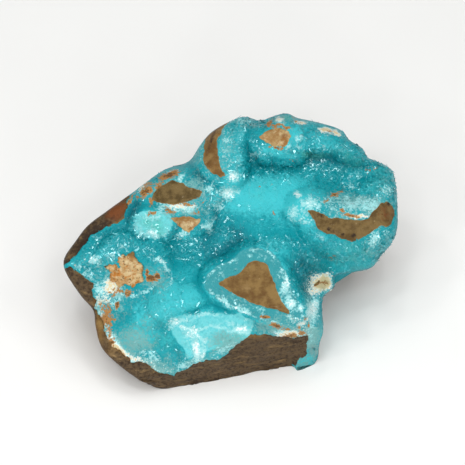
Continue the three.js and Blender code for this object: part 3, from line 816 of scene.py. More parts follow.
# Places on the crust: centre, half widths, turn and strength
frostSpots = [
    ((-3.6, 19.8), (3.4, 2.4), 20, 1.25), ((17, 20), (1.2, 1.1), 0, 1.5),
    ((-6.5, 16), (2.6, 2.4), 20, 0.8), ((-8.5, 22), (1.8, 1.6), 0, 0.85),
    ((-12, 19), (3, 3), 0, 0.3), ((-17.5, 25), (1.2, 1.6), 0, 0.85),
    ((20.5, 16.8), (3.4, 2.6), 20, 1.05), ((15.8, 14.2), (2.4, 3), -20, 0.85),
    ((19, 12), (2.4, 1.6), 0, 0.8), ((34, 17), (9, 2.6), -4, 0.8),
    ((44, 20.5), (1.4, 2.6), -25, 0.8), ((26, 17.6), (3, 1.8), 0, 0.7),
    ((39.5, 6), (1.8, 3), -20, 1.0), ((24, 7), (1.2, 1.4), 0, 0.8), ((44, 8), (2, 2), 0, 0.6),
    ((-1.7, 25.3), (1.7, 1.7), 20, 1.3), ((-4, 35.5), (1.4, 1.4), 0, 0.85),
    ((-3, 31), (2.4, 4), 20, 0.5), ((4.4, 31.4), (2, 1.9), 0, 0.75), ((0.5, 42), (5, 1.8), -5, 0.7),
    ((-4, 40), (1.4, 2.4), 20, 0.5), ((14.2, 34), (1.4, 1.2), 0, 0.95),
    ((17.2, 34), (1.1, 1.1), 0, 0.9), ((17.4, 36.8), (1.8, 1.6), 0, 0.9),
    ((11.4, 40.6), (1.8, 1.6), 0, 0.8), ((31, 33.6), (2.4, 1.2), -30, 0.55),
    ((25, 33.4), (1, 0.8), 0, 0.8), ((-13, 33), (1, 3), -30, 0.8), ((33, 22), (2.4, 1.4), 0, 0.6),
    ((9.5, 26.4), (1.6, 1.2), 0, 0.5), ((-26.5, 7.6), (5.4, 1.2), 0, 1.1),
    ((-30, 9), (1.6, 2.4), 30, 0.9), ((-24, 12), (5, 4), 0, 0.35),
    ((-17.5, 7.5), (2.6, 1.5), 15, 1.0), ((-10, 9.7), (1.6, 1.4), 0, 0.95),
    ((-13, 6), (2, 1.2), 0, 0.5), ((-18, 15), (5.4, 1.6), 0, 0.75),
    ((-23.5, 15.6), (1.6, 1.8), 0, 0.8), ((-8.4, 12), (1.6, 2), 30, 0.6),
    ((-18.6, -18.4), (3.6, 1.4), 30, 1.15), ((-9.5, -16.2), (6.6, 1.2), 4, 0.95),
    ((-14.5, -21.5), (4, 2), -15, 0.9), ((-12.6, -26.5), (1.9, 4), 12, 1.35),
    ((0.6, -20.8), (3, 1.4), -10, 1.0), ((-5.5, -27), (4.6, 1.6), 35, 0.7),
    ((-2.5, -18.8), (5, 1.4), -10, 0.7), ((-16.5, -31.5), (3, 1.4), 35, 0.7),
    ((-27, -28.4), (3, 1.4), -25, 0.9), ((-38.6, -19), (1.6, 5), 12, 0.5),
    ((-37, -25), (1.6, 3.6), 30, 1.1), ((-41.5, -9), (2, 3), 0, 0.8),
    ((-33.5, -28.6), (3.6, 1.2), -35, 0.95), ((-37, -12), (2, 3), 0, 0.7),
    ((-32, -9.6), (3, 1.2), -20, 0.8), ((-44, 0), (1.7, 1.5), 0, 1.1),
    ((-38, 1.6), (1.6, 1.1), 0, 0.85), ((-35, 3.8), (1.6, 1), 0, 0.7),
    ((-43, 6.6), (1.2, 1.6), 30, 0.5), ((-49, -2), (1.6, 2), 0, 0.7),
    ((-46, -4.4), (3, 1), -20, 0.6), ((-24, 0), (2.4, 0.8), -30, 0.85),
    ((-21.3, -5), (0.8, 4), 8, 0.5), ((-27, -8.4), (3, 0.9), 15, 0.6),
    ((-2, -13), (4.4, 1.0), -28, 0.75), ((13.8, -8.5), (1.6, 4.4), 14, 0.95),
    ((15.4, -12.6), (1.5, 2), 0, 1.05), ((21.6, -15), (2.8, 4.5), 0, 1.35),
    ((18, -14), (1.8, 1.4), 0, 0.8), ((17, -18.6), (3, 1.6), -10, 0.65),
    ((12, -21.6), (1.6, 1.1), 0, 0.95), ((5, 1.2), (4, 0.8), 0, 0.35), ((21, -22), (2, 5), 0, 0.35),
]

greySpots = [  # duller, chalky crust
    ((-4, -24.5), (6, 2.6), 35, 1.0), ((-5, -22.8), (5.4, 2.2), 20, 1.0),
    ((-28, -20), (6, 5), 0, 0.5), ((-31.5, -24), (7, 5), -20, 1.1), ((-13, 22.5), (4, 4), 0, 0.7),
    ((-22, -31), (7, 3.6), 20, 0.6), ((-37, -13), (5, 6), 0, 0.75), ((-25, -5.5), (5, 5), 0, 0.75),
    ((-42, -2), (8, 4), -10, 0.55), ((-32, -10), (7, 2), -15, 0.6), ((-16, 15), (8, 2.4), 0, 0.9),
    ((-12, 20), (4, 5), 0, 0.6), ((-8, 17), (5, 5), 0, 0.5), ((-24, 22), (8, 3), 35, 0.6),
    ((-3.6, 33), (3.4, 9), 8, 0.6), ((-13, 31), (2, 5), -30, 0.5), ((34, 17.4), (10, 3), -8, 1.1),
    ((40, 4), (5, 5), 15, 0.45), ((22, 24), (7, 3), 0, 0.2), ((21.6, -24), (3.6, 8), 0, 1.1),
    ((18.5, -33), (5, 5), 0, 0.9), ((44, 2), (5, 6), 0, 0.6), ((10, -19.5), (9, 3), 0, 0.85),
    ((-1, -12), (6, 2.6), -28, 0.5), ((12.5, -8), (2.4, 6), 14, 0.5), ((24, 38), (9, 3), -15, 0.4),
    ((2, 41), (6, 3), 0, 0.5), ((12, 41), (5, 3), 0, 0.7), ((43, 20), (3, 4), 0, 0.5),
    ((27, 0), (8, 3), 0, 0.3),
]

mintSpots = [  # greener crust
    ((34, 2), (14, 8), 0, 0.45), ((-26, -22), (14, 10), 0, 0.4), ((42, 22), (6, 10), 0, 0.4),
    ((-26, 11), (6, 5), 0, 0.75), ((5, 19), (9, 5), 10, 0.3), ((33, 30), (8, 3), -30, 0.5),
    ((-28, -19), (7, 5), 0, 0.3), ((-3, -24), (7, 3), 30, 0.7), ((22, 31.5), (8, 1.6), 0, 0.7),
    ((14, 42.6), (3, 1.6), 0, 0.7), ((30, 4), (6, 4), 0, 0.4), ((-21, 24.5), (5, 2), 30, 0.3),
]

edgeSpots = [  # where the crust's broken edge is chalky
    ((-40, -14), (5, 9), 0, 1.0), ((-36, -26), (7, 6), -30, 1.1), ((-26, -31.5), (10, 4), 0, 0.8),
    ((-14, -29), (6, 5), 0, 0.6), ((16, -20), (9, 4), 0, 0.8), ((-2, -25), (6, 5), 0, 0.4),
    ((-8, 28), (6, 14), 0, 0.3), ((-18, 19), (10, 7), 0, 0.4), ((33, 13), (14, 6), 0, 0.6),
]

# Thin pale lines where one growth meets the next: points, half width and strength
seams = [
    ([(-24.6, 0.8), (-22.4, -1.8), (-20.4, -4.5), (-20.9, -7.5), (-23.9, -9.8)], 0.35, 0.5),
    ([(-17.4, -19.6), (-13, -20.8), (-10.2, -23.6), (-10.6, -28.6)], 0.5, 0.5),
    ([(-13, -20.8), (-8.6, -19.6), (-3.4, -20.6), (1, -20.2)], 0.4, 0.4),
    ([(-3.4, -20.6), (-5.2, -24), (-7.6, -26.4)], 0.35, 0.4),
]

rustSpots = [  # iron stains
    ((7.2, -16.6), (1.7, 0.5), 0, 1.4), ((10.8, -19.6), (1.7, 0.7), 0, 1.5),
    ((14, -20.2), (1.4, 0.5), -12, 1.2), ((17, -19.4), (0.8, 0.6), 0, 1.0),
    ((19, -17.4), (0.9, 0.6), -30, 0.9), ((20.6, -19), (0.7, 0.5), -30, 1.0),
    ((15, -22.6), (2.4, 0.7), 0, 1.1), ((18.5, -21.6), (1.2, 0.8), 0, 0.9),
    ((-26, -5.3), (1.7, 0.8), 0, 1.8), ((-27.4, -3.9), (0.7, 1.3), 10, 1.5),
    ((-24.7, -4.4), (0.7, 1.1), -10, 1.5), ((28.4, 19.2), (1.7, 0.7), 25, 1.5),
    ((25.8, 17.6), (1.0, 0.5), 50, 1.0), ((30.4, 20.3), (0.9, 0.4), 0, 1.0),
    ((33, 13.4), (3, 0.7), -10, 1.2), ((30.2, 15), (0.9, 0.8), 0, 1.0),
    ((5.5, 22), (0.6, 0.5), 0, 1.2), ((2.4, 22.6), (0.5, 0.6), 0, 0.9),
    ((10.4, 14), (1.4, 0.4), -40, 0.8), ((11.6, 12.2), (0.5, 0.4), 0, 1.0),
    ((9, 22.6), (0.4, 0.4), 0, 0.8), ((38.6, 27.2), (2.6, 0.6), 10, 0.9),
    ((40.2, 27.5), (1.1, 0.5), 25, 1.1), ((27, 1), (1.2, 0.8), 0, 0.7),
    ((-36.5, -13.4), (0.9, 0.8), 30, 1.5), ((-38, -10.5), (0.8, 0.8), 0, 0.9),
    ((-38, -9.4), (2.4, 1.2), 20, 0.75), ((-33, -9), (1.6, 1.2), 20, 1.1),
    ((-37.6, -24.6), (1.0, 0.5), 30, 1.1), ((-35, -28.2), (1.0, 0.5), -40, 0.9),
    ((-39.6, -17), (2.0, 6.5), 10, 0.86), ((-21.5, 26), (3.2, 1.5), 22, 1.5),
    ((-28.5, 20.6), (4.0, 1.5), 40, 1.3), ((-24, 22.8), (2, 1), 35, 1.0),
    ((-26, 13.8), (1.6, 0.7), 25, 1.1), ((-20.6, 14.6), (2.0, 0.8), -30, 0.95),
    ((-16, 16.6), (4, 0.7), 0, 0.8), ((-13, 14), (2, 0.8), 0, 0.7),
    ((-11, 17.4), (1.2, 0.8), 0, 0.8), ((-12.6, 26.4), (0.6, 0.5), 0, 0.9),
    ((-33.2, 17), (0.7, 2.4), -20, 1.1), ((-26.4, 17.6), (0.5, 2), 10, 0.9),
    ((8.6, 41.6), (1.3, 2.2), -20, 1.4), ((10.6, 40), (2.2, 0.9), 0, 1.0),
    ((13.6, 40), (2, 0.6), 0, 1.1), ((16.6, 42.8), (0.8, 1.8), 40, 1.5),
    ((19.4, 41.8), (1.6, 0.8), 0, 0.8), ((10.6, 33.2), (2.2, 0.8), 0, 1.2),
    ((27.6, 38.2), (1.2, 0.7), 0, 0.8), ((-49.4, -1), (0.6, 0.8), 0, 0.8),
    ((14, 29), (5, 0.5), 12, 0.6), ((-46, 0.6), (0.6, 0.6), 0, 0.7), ((25, -7), (1.6, 1), 20, 0.9),
    ((24, -9.6), (1.4, 1.2), 0, 0.8),
]

creamSpots = [
    ((25, -7.4), (4.2, 3.2), 0, 1.6), ((24.6, -4.8), (2.4, 1.2), 10, 1.0),
    ((26, -10), (2.4, 2), 0, 1.2), ((-40, -11), (1.8, 2.6), 8, 0.6),
    ((-40, -17), (1.2, 6), 8, 0.35), ((21.4, -5), (1.4, 1.6), 0, 0.8),
    ((26.4, 38.9), (2.4, 1.3), -5, 1.5), ((29.4, 38.4), (1.6, 1.2), -20, 1.4),
    ((18.4, 41.8), (2.2, 1.0), -8, 1.3), ((11.6, 42.4), (1.2, 1.6), 0, 1.1),
    ((-38.4, -8.2), (2.4, 1.6), 0, 0.95), ((14.6, -22), (3.4, 0.9), 0, 0.95),
    ((17.6, -18.2), (2.4, 1.2), 0, 0.7), ((25, -13), (0.7, 3), 0, 0.8),
    ((-20.6, 26.8), (2.4, 1), 20, 0.8), ((-29, 22), (3.2, 0.8), 40, 0.75),
    ((-36, -27), (3.4, 1.3), -40, 0.85), ((-18, 15.4), (3, 1), -10, 0.75),
    ((-14, 15.8), (2, 1), 0, 0.6), ((35.6, 12.8), (2.6, 0.6), 0, 0.9),
    ((20, -17.6), (0.9, 0.8), 0, 0.8), ((1.6, -17.6), (0.8, 0.6), 0, 0.5),
    ((-31, -29.4), (2.6, 0.8), -30, 0.6),
]

# The display side, with coarse grains where it is chalky, goes under where rock is bare
crustU, crustV, crustAngle = outlineGrid(crustPiece["cells"])
parts = displaySide(crustU, crustV)
flat = flatPoint(crustU, crustV)
frost = spotStrength(frostSpots, crustU, crustV)
grey = spotStrength(greySpots, crustU, crustV)
cream = spotStrength(creamSpots, crustU, crustV)
coarse = np.clip(np.maximum(frost * grey * 1.6, cream), 0, 1)
grains = 0.5 - cellDistance(flat, crustPiece["granules"][0], 73)
crustTop = parts["height"] + crustPiece["granules"][1] * coarse * grains
dive = np.clip(-parts["bare"] * crustPiece["dive"], 0, crustPiece["deepest"])
nearRim = 1 - smoothStep(parts["inside"], 0, 5)
inset = crustPiece["pull"] * dive * nearRim / np.maximum(np.hypot(crustU, crustV), 1)
front = onFace(crustU * (1 - inset), crustV * (1 - inset), crustTop)
front = front - dive[..., None] * mix(faceOut, 1.4 * wallOut, parts["onWall"][..., None])

# Round the rim the crust follows the block's skin, and where rock is bare it goes straight in
loop = borderLoop(crustPiece["cells"])
shares = np.linspace(*crustPiece["wrapShares"], crustPiece["wrapRows"])
outer, direction, cover, covered = backSkin(crustAngle.ravel()[loop], shares)
(broad, high), (small, low) = crustPiece["wrapBumps"]
bumps = high * noise(outer, broad, 43) + low * noise(outer, small, 45)
more, least = crustPiece["wrapDepth"]
into = mix(more, 0, smoothStep(cover, 0.02, 0.3)) + least - bumps * 0.6
wrapped = outer - direction * (into * smoothStep(shares, 0, 0.06)[:, None])[..., None]
border = front.reshape(-1, 3)[loop]
borderU, borderV = crustU.ravel()[loop], crustV.ravel()[loop]
fall = np.linspace(0.06, 1, crustPiece["wrapRows"])[:, None, None]
straight = border + fall * (0.06 * (heart - border) - block["crust"] * 0.8 * faceOut)
wrapped = mix(straight, wrapped, covered[None, :, None])

# Its underside is the smooth display side moved down, on rings that shrink to the middle
ringShares = np.linspace(*crustPiece["underShares"], crustPiece["underRows"])[:, None]
underU, underV = borderU * ringShares, borderV * ringShares
underHeight = np.minimum(displayHeight(underU, underV, False)[0], wallHeight(underU, underV))
underDepth = block["crust"] + crustPiece["spare"]
underHeight = np.maximum(underHeight - underDepth, groundHeight(underV) + 0.5)
loops = np.concatenate([wrapped, onFace(underU, underV, underHeight)])
zero = np.zeros(1)
tip = onFace(zero, zero, displayHeight(zero, zero, False)[0] - underDepth)
crustPoints = np.concatenate([front.reshape(-1, 3), loops.reshape(-1, 3), tip])
smithsonite = closedMesh("smithsoniteCrust", crustPoints, crustPiece["cells"], len(loops))

# Hollowness: how much lower a point is than the mean of two rings round it. The colour is
# deepened in hollows and paled on crests by it: partly thicker crust, partly painted shade
hollow = 0
here = displayHeight(crustU, crustV)[0]
for radius, weight in crustPiece["hollows"]:
    ring = [
        displayHeight(crustU + radius * cos(a), crustV + radius * sin(a))[0]
        for a in (0, pi / 2, pi, 3 * pi / 2)
    ]
    hollow = hollow + weight * (np.mean(ring, axis=0) - here)
hollow = np.clip(hollow, *crustPiece["hollowRange"])

# The cut crust round a knob is palest along its outer edge, and all cut crust is mottled
cutFrost = smoothStep(parts["collar"], 0.8, 0.92) * (1 - smoothStep(parts["collar"], 0.98, 1.12))
cutFrost = 0.2 + cutFrost * (0.35 + 0.3 * noise(flat, 4, 85)) + 0.4 * noise(flat, 1.4, 86)
cutFrost = cutFrost * parts["ring"] + 0.45 * parts["lobe"] * noise(flat, 2.2, 87)

# The spots are read at places that waver, so none keeps its plain shape
count = len(crustPoints)
size, reach = crustPiece["waver"]
allU, allV = (
    place + reach * layeredNoise(crustPoints, size, 3, seed)
    for place, seed in zip(offFace(crustPoints), (81, 82))
)
tone = 0.5 + plateauSum(toneAndShadeSpots, allU, allV)
# Painted shade: the colour deepens with the hollowness, as well as with the thicker crust there
tone = tone + padded(crustPiece["hollowShade"] * hollow + parts["tone"], 0, count)
chalky = spotStrength(edgeSpots, allU, allV)
chalky = chalky * padded(1 - smoothStep(parts["bare"], 0.6, 3.4), 0, count)
seam = sum(
    strength * (1 - smoothStep(lineDistance(points, allU, allV), 0.5 * width, 1.5 * width))
    for points, width, strength in seams
)
frostAll = spotStrength(frostSpots, allU, allV) + padded(cutFrost, 0, count)

# Frost and stains fade over the rim, where the spots would be drawn out into streaks
overRim = 0.7 * crustedShare(crustU, crustV) * (1 - smoothStep(parts["inside"], 0.2, 2.0))
fading = np.zeros((len(loops), len(loop)))
fading[: len(shares)] = 0.3 * (1 - smoothStep(shares, 0.0, 0.05))[:, None]
fading = np.concatenate([1 - overRim.ravel(), fading.ravel(), [0]])
chalk = {key: share * chalky for key, share in crustPiece["chalk"].items()}
masks = {
    "tone": np.clip(tone + 0.12 * noise(crustPoints, 5, 83), 0, 1),
    "lobe": padded(parts["lobe"], 0, count),
    "ring": padded(parts["ring"], 0, count),
    "frost": frostAll * (0.3 + 0.7 * fading) + chalk["frost"] + seam,
    "grey": spotStrength(greySpots, allU, allV) + chalky,
    "mint": spotStrength(mintSpots, allU, allV),
    "rust": (spotStrength(rustSpots, allU, allV) + chalk["rust"]) * fading,
    "cream": (spotStrength(creamSpots, allU, allV) + chalk["cream"]) * fading,
}
for name, values in masks.items():
    setAttribute(smithsonite, name, values)
print("crust", len(smithsonite.data.polygons), "faces")

# The druse

druse = {
    "count": 24000,
    "size": (0.2, 0.8),  # half width in mm
    "stretch": 2.8,  # longest over shortest
    "rise": (0.06, 0.32),  # of the half width
    "sunk": 0.03,  # mm
    "turn": 0.22,  # of the axis away from the crust's own normal
    "tilt": 0.35,  # of the tip away from the middle, as a share of the half width
    "seed": 8,
}

# Where the crystals are thickest: centre, half widths, turn and strength
glitterSpots = [
    ((33, 27), (13, 4.5), -14, 2), ((8, 26.5), (9, 2.4), 5, 1.2), ((42, 22), (4, 6), 0, 0.9),
    ((-30, 6.5), (13, 4.5), -5, 0.8), ((-15, 3.5), (6, 4), -20, 1),
    ((-2.6, 7.6), (5.4, 1.3), -26, 1.2), ((9, 5), (9, 1.4), 0, 0.9), ((20, -2), (3, 8), 15, 0.8),
    ((2, 32), (6, 6), 0, 0.5), ((-9, 17), (4, 5), 0, 0.5), ((-12, 9), (4, 3), 0, 0.7),
    ((38, 4), (8, 4), 0, 0.6), ((-1, -13), (4, 1.6), -30, 0.7), ((15, -9), (2, 5), 10, 0.5),
    ((-38, 2), (9, 4), 10, 0.5), ((26, 4), (8, 4), 0, 0.4), ((-22, -14), (7, 6), 0, 0.15),
    ((24, 35), (12, 3), -15, 0.2), ((2, 41), (8, 2.4), 0, 0.5), ((-44, -3), (6, 4), 0, 0.4),
    ((-28, -20), (12, 12), 0, 0.02),
]

# Seats are drawn at random over the crust's faces, by area and by how thick the crystals are there
rng = np.random.default_rng(druse["seed"])
n = crustPiece["cells"]
corner = np.arange((n + 1) ** 2).reshape(n + 1, n + 1)[:-1, :-1].ravel()
corners = np.stack([corner, corner + 1, corner + n + 2, corner + n + 1], -1)
quadPoints = crustPoints[corners]
cross = np.cross(quadPoints[:, 2] - quadPoints[:, 0], quadPoints[:, 3] - quadPoints[:, 1])
area = np.linalg.norm(cross, axis=1)
normal = cross / np.maximum(area, 1e-9)[:, None]
quadU, quadV = crustU.ravel()[corner], crustV.ravel()[corner]
glitter = 0.02 + spotStrength(glitterSpots, quadU, quadV)
bareThere = smoothStep(parts["bare"].ravel()[corner], 0.3, 1.0)
flatThere = 1 - 0.75 * np.maximum(parts["lobe"], parts["ring"]).ravel()[corner]
calmThere = 1 - np.clip(masks["rust"][corner] + masks["cream"][corner], 0, 1)
weight = area * glitter * bareThere * flatThere * calmThere * (1 - parts["onWall"].ravel()[corner])
chosen = rng.choice(len(corner), druse["count"], p=weight / weight.sum())
share = rng.random((2, druse["count"], 1))
edgeA = mix(quadPoints[chosen, 0], quadPoints[chosen, 1], share[0])
edgeB = mix(quadPoints[chosen, 3], quadPoints[chosen, 2], share[0])
seat = mix(edgeA, edgeB, share[1])

# Each crystal is a low pyramid: three corners a third of a turn apart on an ellipse round its
# seat, and a tip that leans off the middle
out = normal[chosen] + druse["turn"] * rng.normal(size=(druse["count"], 3))
out /= np.linalg.norm(out, axis=1)[:, None]
size = mix(*druse["size"], rng.random((druse["count"], 1)) ** 3)
across = np.cross(out, rng.normal(size=(druse["count"], 3)))
across /= np.linalg.norm(across, axis=1)[:, None]
along = np.cross(out, across)
stretch = mix(1, druse["stretch"], rng.random((druse["count"], 1)))
base = [
    seat - out * druse["sunk"] + size * (cos(a) * stretch * across + sin(a) * along)
    for a in (0, 2 * pi / 3, 4 * pi / 3)
]
lean = druse["tilt"] * rng.uniform(-1, 1, size=(2, druse["count"], 1))
rise = mix(*druse["rise"], rng.random((druse["count"], 1)))
tip = seat + size * (out * rise + lean[0] * across + lean[1] * along)
crystalPoints = np.stack([*base, tip], 1).reshape(-1, 3)
first = 4 * np.arange(druse["count"])[:, None]
faces = np.concatenate([first + np.array(f) for f in ((0, 1, 3), (1, 2, 3), (2, 0, 3), (0, 2, 1))])
crystals = meshPiece("druseCrystals", crystalPoints, np.zeros((0, 4), int), faces, smooth=False)
for name, values in masks.items():
    setAttribute(crystals, name, np.repeat(values[corner[chosen]], 4))
print("druse", len(crystals.data.polygons), "faces")

for piece, slot in (
    (rock, "limonite_rock"), (smithsonite, "smithsonite"), (crystals, "smithsonite"),
):
    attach(piece, "root")
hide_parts("rock_matrix")
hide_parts("smithsonite_crust")

# Materials


# Red, green and blue from sRGB to linear: c / 12.92 when dark, else ((c + 0.055) / 1.055)^2.4
def linearColour(hexValue):
    srgb = np.array([int(hexValue[i : i + 2], 16) for i in (1, 3, 5)]) / 255
    linear = np.where(srgb <= 0.04045, srgb / 12.92, ((srgb + 0.055) / 1.055) ** 2.4)
    return (*linear, 1.0)


# Adds a node; inputs holds values, or (node, output) pairs to link
def addNode(tree, kind, settings=None, inputs=None):
    node = tree.nodes.new(kind)
    for name, value in (settings or {}).items():
        setattr(node, name, value)
    for name, value in (inputs or {}).items():
        socket = node.inputs[name]
        if isinstance(value, tuple) and isinstance(value[0], bpy.types.Node):
            tree.links.new(value[0].outputs[value[1]], socket)
        else:
            socket.default_value = value
    return node


# A material with an empty node tree
def newMaterial(name):
    material = bpy.data.materials.new(name)
    material.use_nodes = True
    material.node_tree.nodes.clear()
    return material, material.node_tree


# Smithsonite, a zinc carbonate grown as a crust of fine crystals: waxy, a little see-through,
# deep blue-green where it is thick and whole, paler and frosted where it has been broken; the
# deep colour also lays painted shade in the hollows and under the upper rim
crustFinish = {
    "bright": "#3cbcc4",
    "mid": "#06939d",
    "deep": "#00727e",
    "ring": "#34949b",
    "lobe": "#6ccbd0",
    "grey": "#6fa9a8",
    "mint": "#4fb5a8",
    "frost": "#98d6d8",
    "white": "#e6f7f5",
    "rust": "#a87b45",
    "rustDark": "#6b4a28",
    "cream": "#d8c79c",
    "mottle": 2.6,  # mm, as are the next four
    "fleck": 0.55,
    "cell": 0.5,  # across a crystal of the crust, coarser than the real ones so that it shows
    "bump": 0.16,
    "reach": 1.0,  # of light inside the crust
    "ior": 1.78,
    "crust": {"rough": 0.45, "gloss": 0.1, "tint": "#ffffff", "bumpy": 0.7, "inner": 0.3},
    "crystal": {"rough": 0.15, "gloss": 0.6, "tint": "#d2f8fb", "bumpy": 0, "inner": 0},
}


# Share of a colour: noise times its depth, added to the mask, stepped between low and high
def maskShare(tree, mask, texture, depth, low, high):
    centred = addNode(
        tree, "ShaderNodeMath", {"operation": "MULTIPLY_ADD"}, {0: texture, 1: depth, 2: -depth / 2}
    )
    total = addNode(tree, "ShaderNodeMath", {"operation": "ADD"}, {0: (centred, 0), 1: mask})
    step = addNode(
        tree, "ShaderNodeMapRange", {"interpolation_type": "SMOOTHSTEP"},
        {"Value": (total, 0), "From Min": low, "From Max": high},
    )
    return step, "Result"


# Colours laid over a first one in turn: under + (over - under) share for each (share, over)
def layeredColour(tree, colour, layers):
    for share, over in layers:
        inputs = {0: share, 6: colour, 7: over}
        colour = (addNode(tree, "ShaderNodeMix", {"data_type": "RGBA"}, inputs), 2)
    return colour


# The crust and its crystals differ in gloss, bump and inner light alone: the crust is waxy, and a
# crystal's bright faces send back a little of its own colour
def crustMaterial(name, finish):
    material, tree = newMaterial(name)
    coords = (addNode(tree, "ShaderNodeTexCoord"), "Object")
    mask = {
        key: (addNode(tree, "ShaderNodeAttribute", {"attribute_name": key}), "Fac") for key in masks
    }
    texture = {}
    for key, detail, coarseness in (("mottle", 7, 0.72), ("fleck", 4, 0.65)):
        inputs = {
            "Vector": coords, "Scale": 1 / (crustFinish[key] * mm), "Detail": detail,
            "Roughness": coarseness,
        }
        texture[key] = (addNode(tree, "ShaderNodeTexNoise", None, inputs), "Fac")
    cells = addNode(
        tree, "ShaderNodeTexVoronoi", None,
        {"Vector": coords, "Scale": 1 / (crustFinish["cell"] * mm)},
    )
    cellShade = addNode(tree, "ShaderNodeSeparateColor", None, {"Color": (cells, "Color")})
    grit = addNode(
        tree, "ShaderNodeMix", {"data_type": "FLOAT"},
        {0: 0.35, 2: texture["mottle"], 3: (cellShade, 0)},
    )
    texture["grit"] = (grit, 0)
    steps = [  # mask, colour, noise and its depth, and where the step begins and ends
        # The tone steps to the mid and deep colours; where it holds painted shade, so do they
        ("tone", "mid", "grit", 0.7, 0.05, 0.5),
        ("tone", "deep", "grit", 0.6, 0.5, 1.05),
        ("ring", "ring", "grit", 1.0, 0.2, 0.9),
        ("lobe", "lobe", "grit", 1.2, 0.2, 0.9),
        ("mint", "mint", "mottle", 1.0, 0.2, 1.1),
        ("grey", "grey", "grit", 1.8, 0.3, 1.1),
        ("frost", "frost", "grit", 1.8, 0.4, 0.95),
        ("frost", "white", "fleck", 2.6, 0.95, 1.45),
        ("cream", "white", "fleck", 2.0, 0.3, 0.8),
        ("cream", "cream", "fleck", 2.6, 0.5, 1.1),
        ("rust", "rust", "grit", 1.8, 0.55, 0.85),
        ("rust", "rustDark", "fleck", 2.4, 1.0, 1.3),
    ]
    layers = [
        (maskShare(tree, mask[key], texture[name], *step), linearColour(crustFinish[tint]))
        for key, tint, name, *step in steps
    ]
    colour = layeredColour(tree, linearColour(crustFinish["bright"]), layers)
    height = addNode(
        tree, "ShaderNodeMath", {"operation": "SUBTRACT"},
        {0: texture["fleck"], 1: (cells, "Distance")},
    )
    bump = addNode(
        tree, "ShaderNodeBump", None,
        {"Strength": finish["bumpy"], "Distance": crustFinish["bump"] * mm, "Height": (height, 0)},
    )
    surface = addNode(
        tree, "ShaderNodeBsdfPrincipled", None,
        {
            "Base Color": colour, "Roughness": finish["rough"], "IOR": crustFinish["ior"],
            "Specular IOR Level": finish["gloss"], "Specular Tint": linearColour(finish["tint"]),
            "Normal": (bump, 0), "Subsurface Weight": finish["inner"],
            "Subsurface Radius": (0.3, 1.0, 1.0), "Subsurface Scale": crustFinish["reach"] * mm,
        },
    )
    addNode(tree, "ShaderNodeOutputMaterial", None, {"Surface": (surface, 0)})
    return material


for piece, name, finish in (
    (smithsonite, "smithsoniteCrust", "crust"), (crystals, "smithsoniteCrystal", "crystal"),
):
    piece.data.materials.append(crustMaterial(name, crustFinish[finish]))

# Limonite, a brown iron ore: satin where it parts along a smooth face, dull and streaked along
# its layers where it has been broken
rockFinish = {
    "face": "#8c6f3f",
    "faceDark": "#6b4d26",
    "faceLight": "#a0845a",
    "faceLine": "#5f4522",
    "olive": "#75613a",
    "oliveDark": "#51401f",
    "tan": "#c4a876",
    "tanDark": "#a8773f",
    "edge": "#b58a4c",
    "pale": "#d2bd92",
    "rusty": "#b5752f",
    "red": "#74421f",
    # very dark brown of the rock's specks, and painted shade at the left side and the front foot
    "burnt": "#33261a",
    "wall": "#5c4a33",
    "wallLight": "#94794f",
    "wallDark": "#35271a",
    "speck": "#2c2013",
    "blotch": 3.5,  # mm, as are the next four; the finest are coarser than the real ones, to show
    "grain": 0.9,
    "crumb": 1.6,
    "speckle": 2.1,
    "streak": (6.25, 6.25, 10 / 9),  # along, across and through the layers
    "dip": 14,  # degrees
    "bump": 0.5,  # mm
    "ior": 1.9,
    "roughness": 0.55,
    "gloss": 0.1,
}
material, tree = newMaterial("limoniteRock")
coords = (addNode(tree, "ShaderNodeTexCoord"), "Object")
mask = {
    key: (addNode(tree, "ShaderNodeAttribute", {"attribute_name": key}), "Fac")
    for key in rockMasks
}
layerScale = tuple(1 / (length * mm) for length in rockFinish["streak"])
alongLayers = addNode(
    tree, "ShaderNodeMapping", None,
    {"Vector": coords, "Rotation": (0, radians(rockFinish["dip"]), 0), "Scale": layerScale},
)

# Noises, and the shares of colour that are stepped from them
texture = {}
for key, detail in (("blotch", 6), ("grain", 4), ("crumb", 5), ("speckle", 5), ("streak", 5)):
    inputs = {"Vector": coords, "Detail": detail, "Roughness": 0.65}
    if key == "streak":
        inputs |= {"Vector": (alongLayers, 0), "Scale": 1}
    else:
        inputs["Scale"] = 1 / (rockFinish[key] * mm)
    texture[key] = (addNode(tree, "ShaderNodeTexNoise", None, inputs), "Fac")
steps = {}
for key, name, low, high in (
    ("blotch", "blotch", 0.38, 0.62),
    ("streak", "streak", 0.52, 0.78),
    ("dark", "grain", 0.4, 0.66),
    ("speck", "speckle", 0.66, 0.72),
    ("scratch", "streak", 0.56, 0.8),
    ("line", "streak", 0.42, 0.22),
):
    inputs = {"Value": texture[name], "From Min": low, "From Max": high}
    step = addNode(tree, "ShaderNodeMapRange", {"interpolation_type": "SMOOTHSTEP"}, inputs)
    steps[key] = (step, 0)
tint = {key: linearColour(value) for key, value in rockFinish.items() if str(value)[0] == "#"}

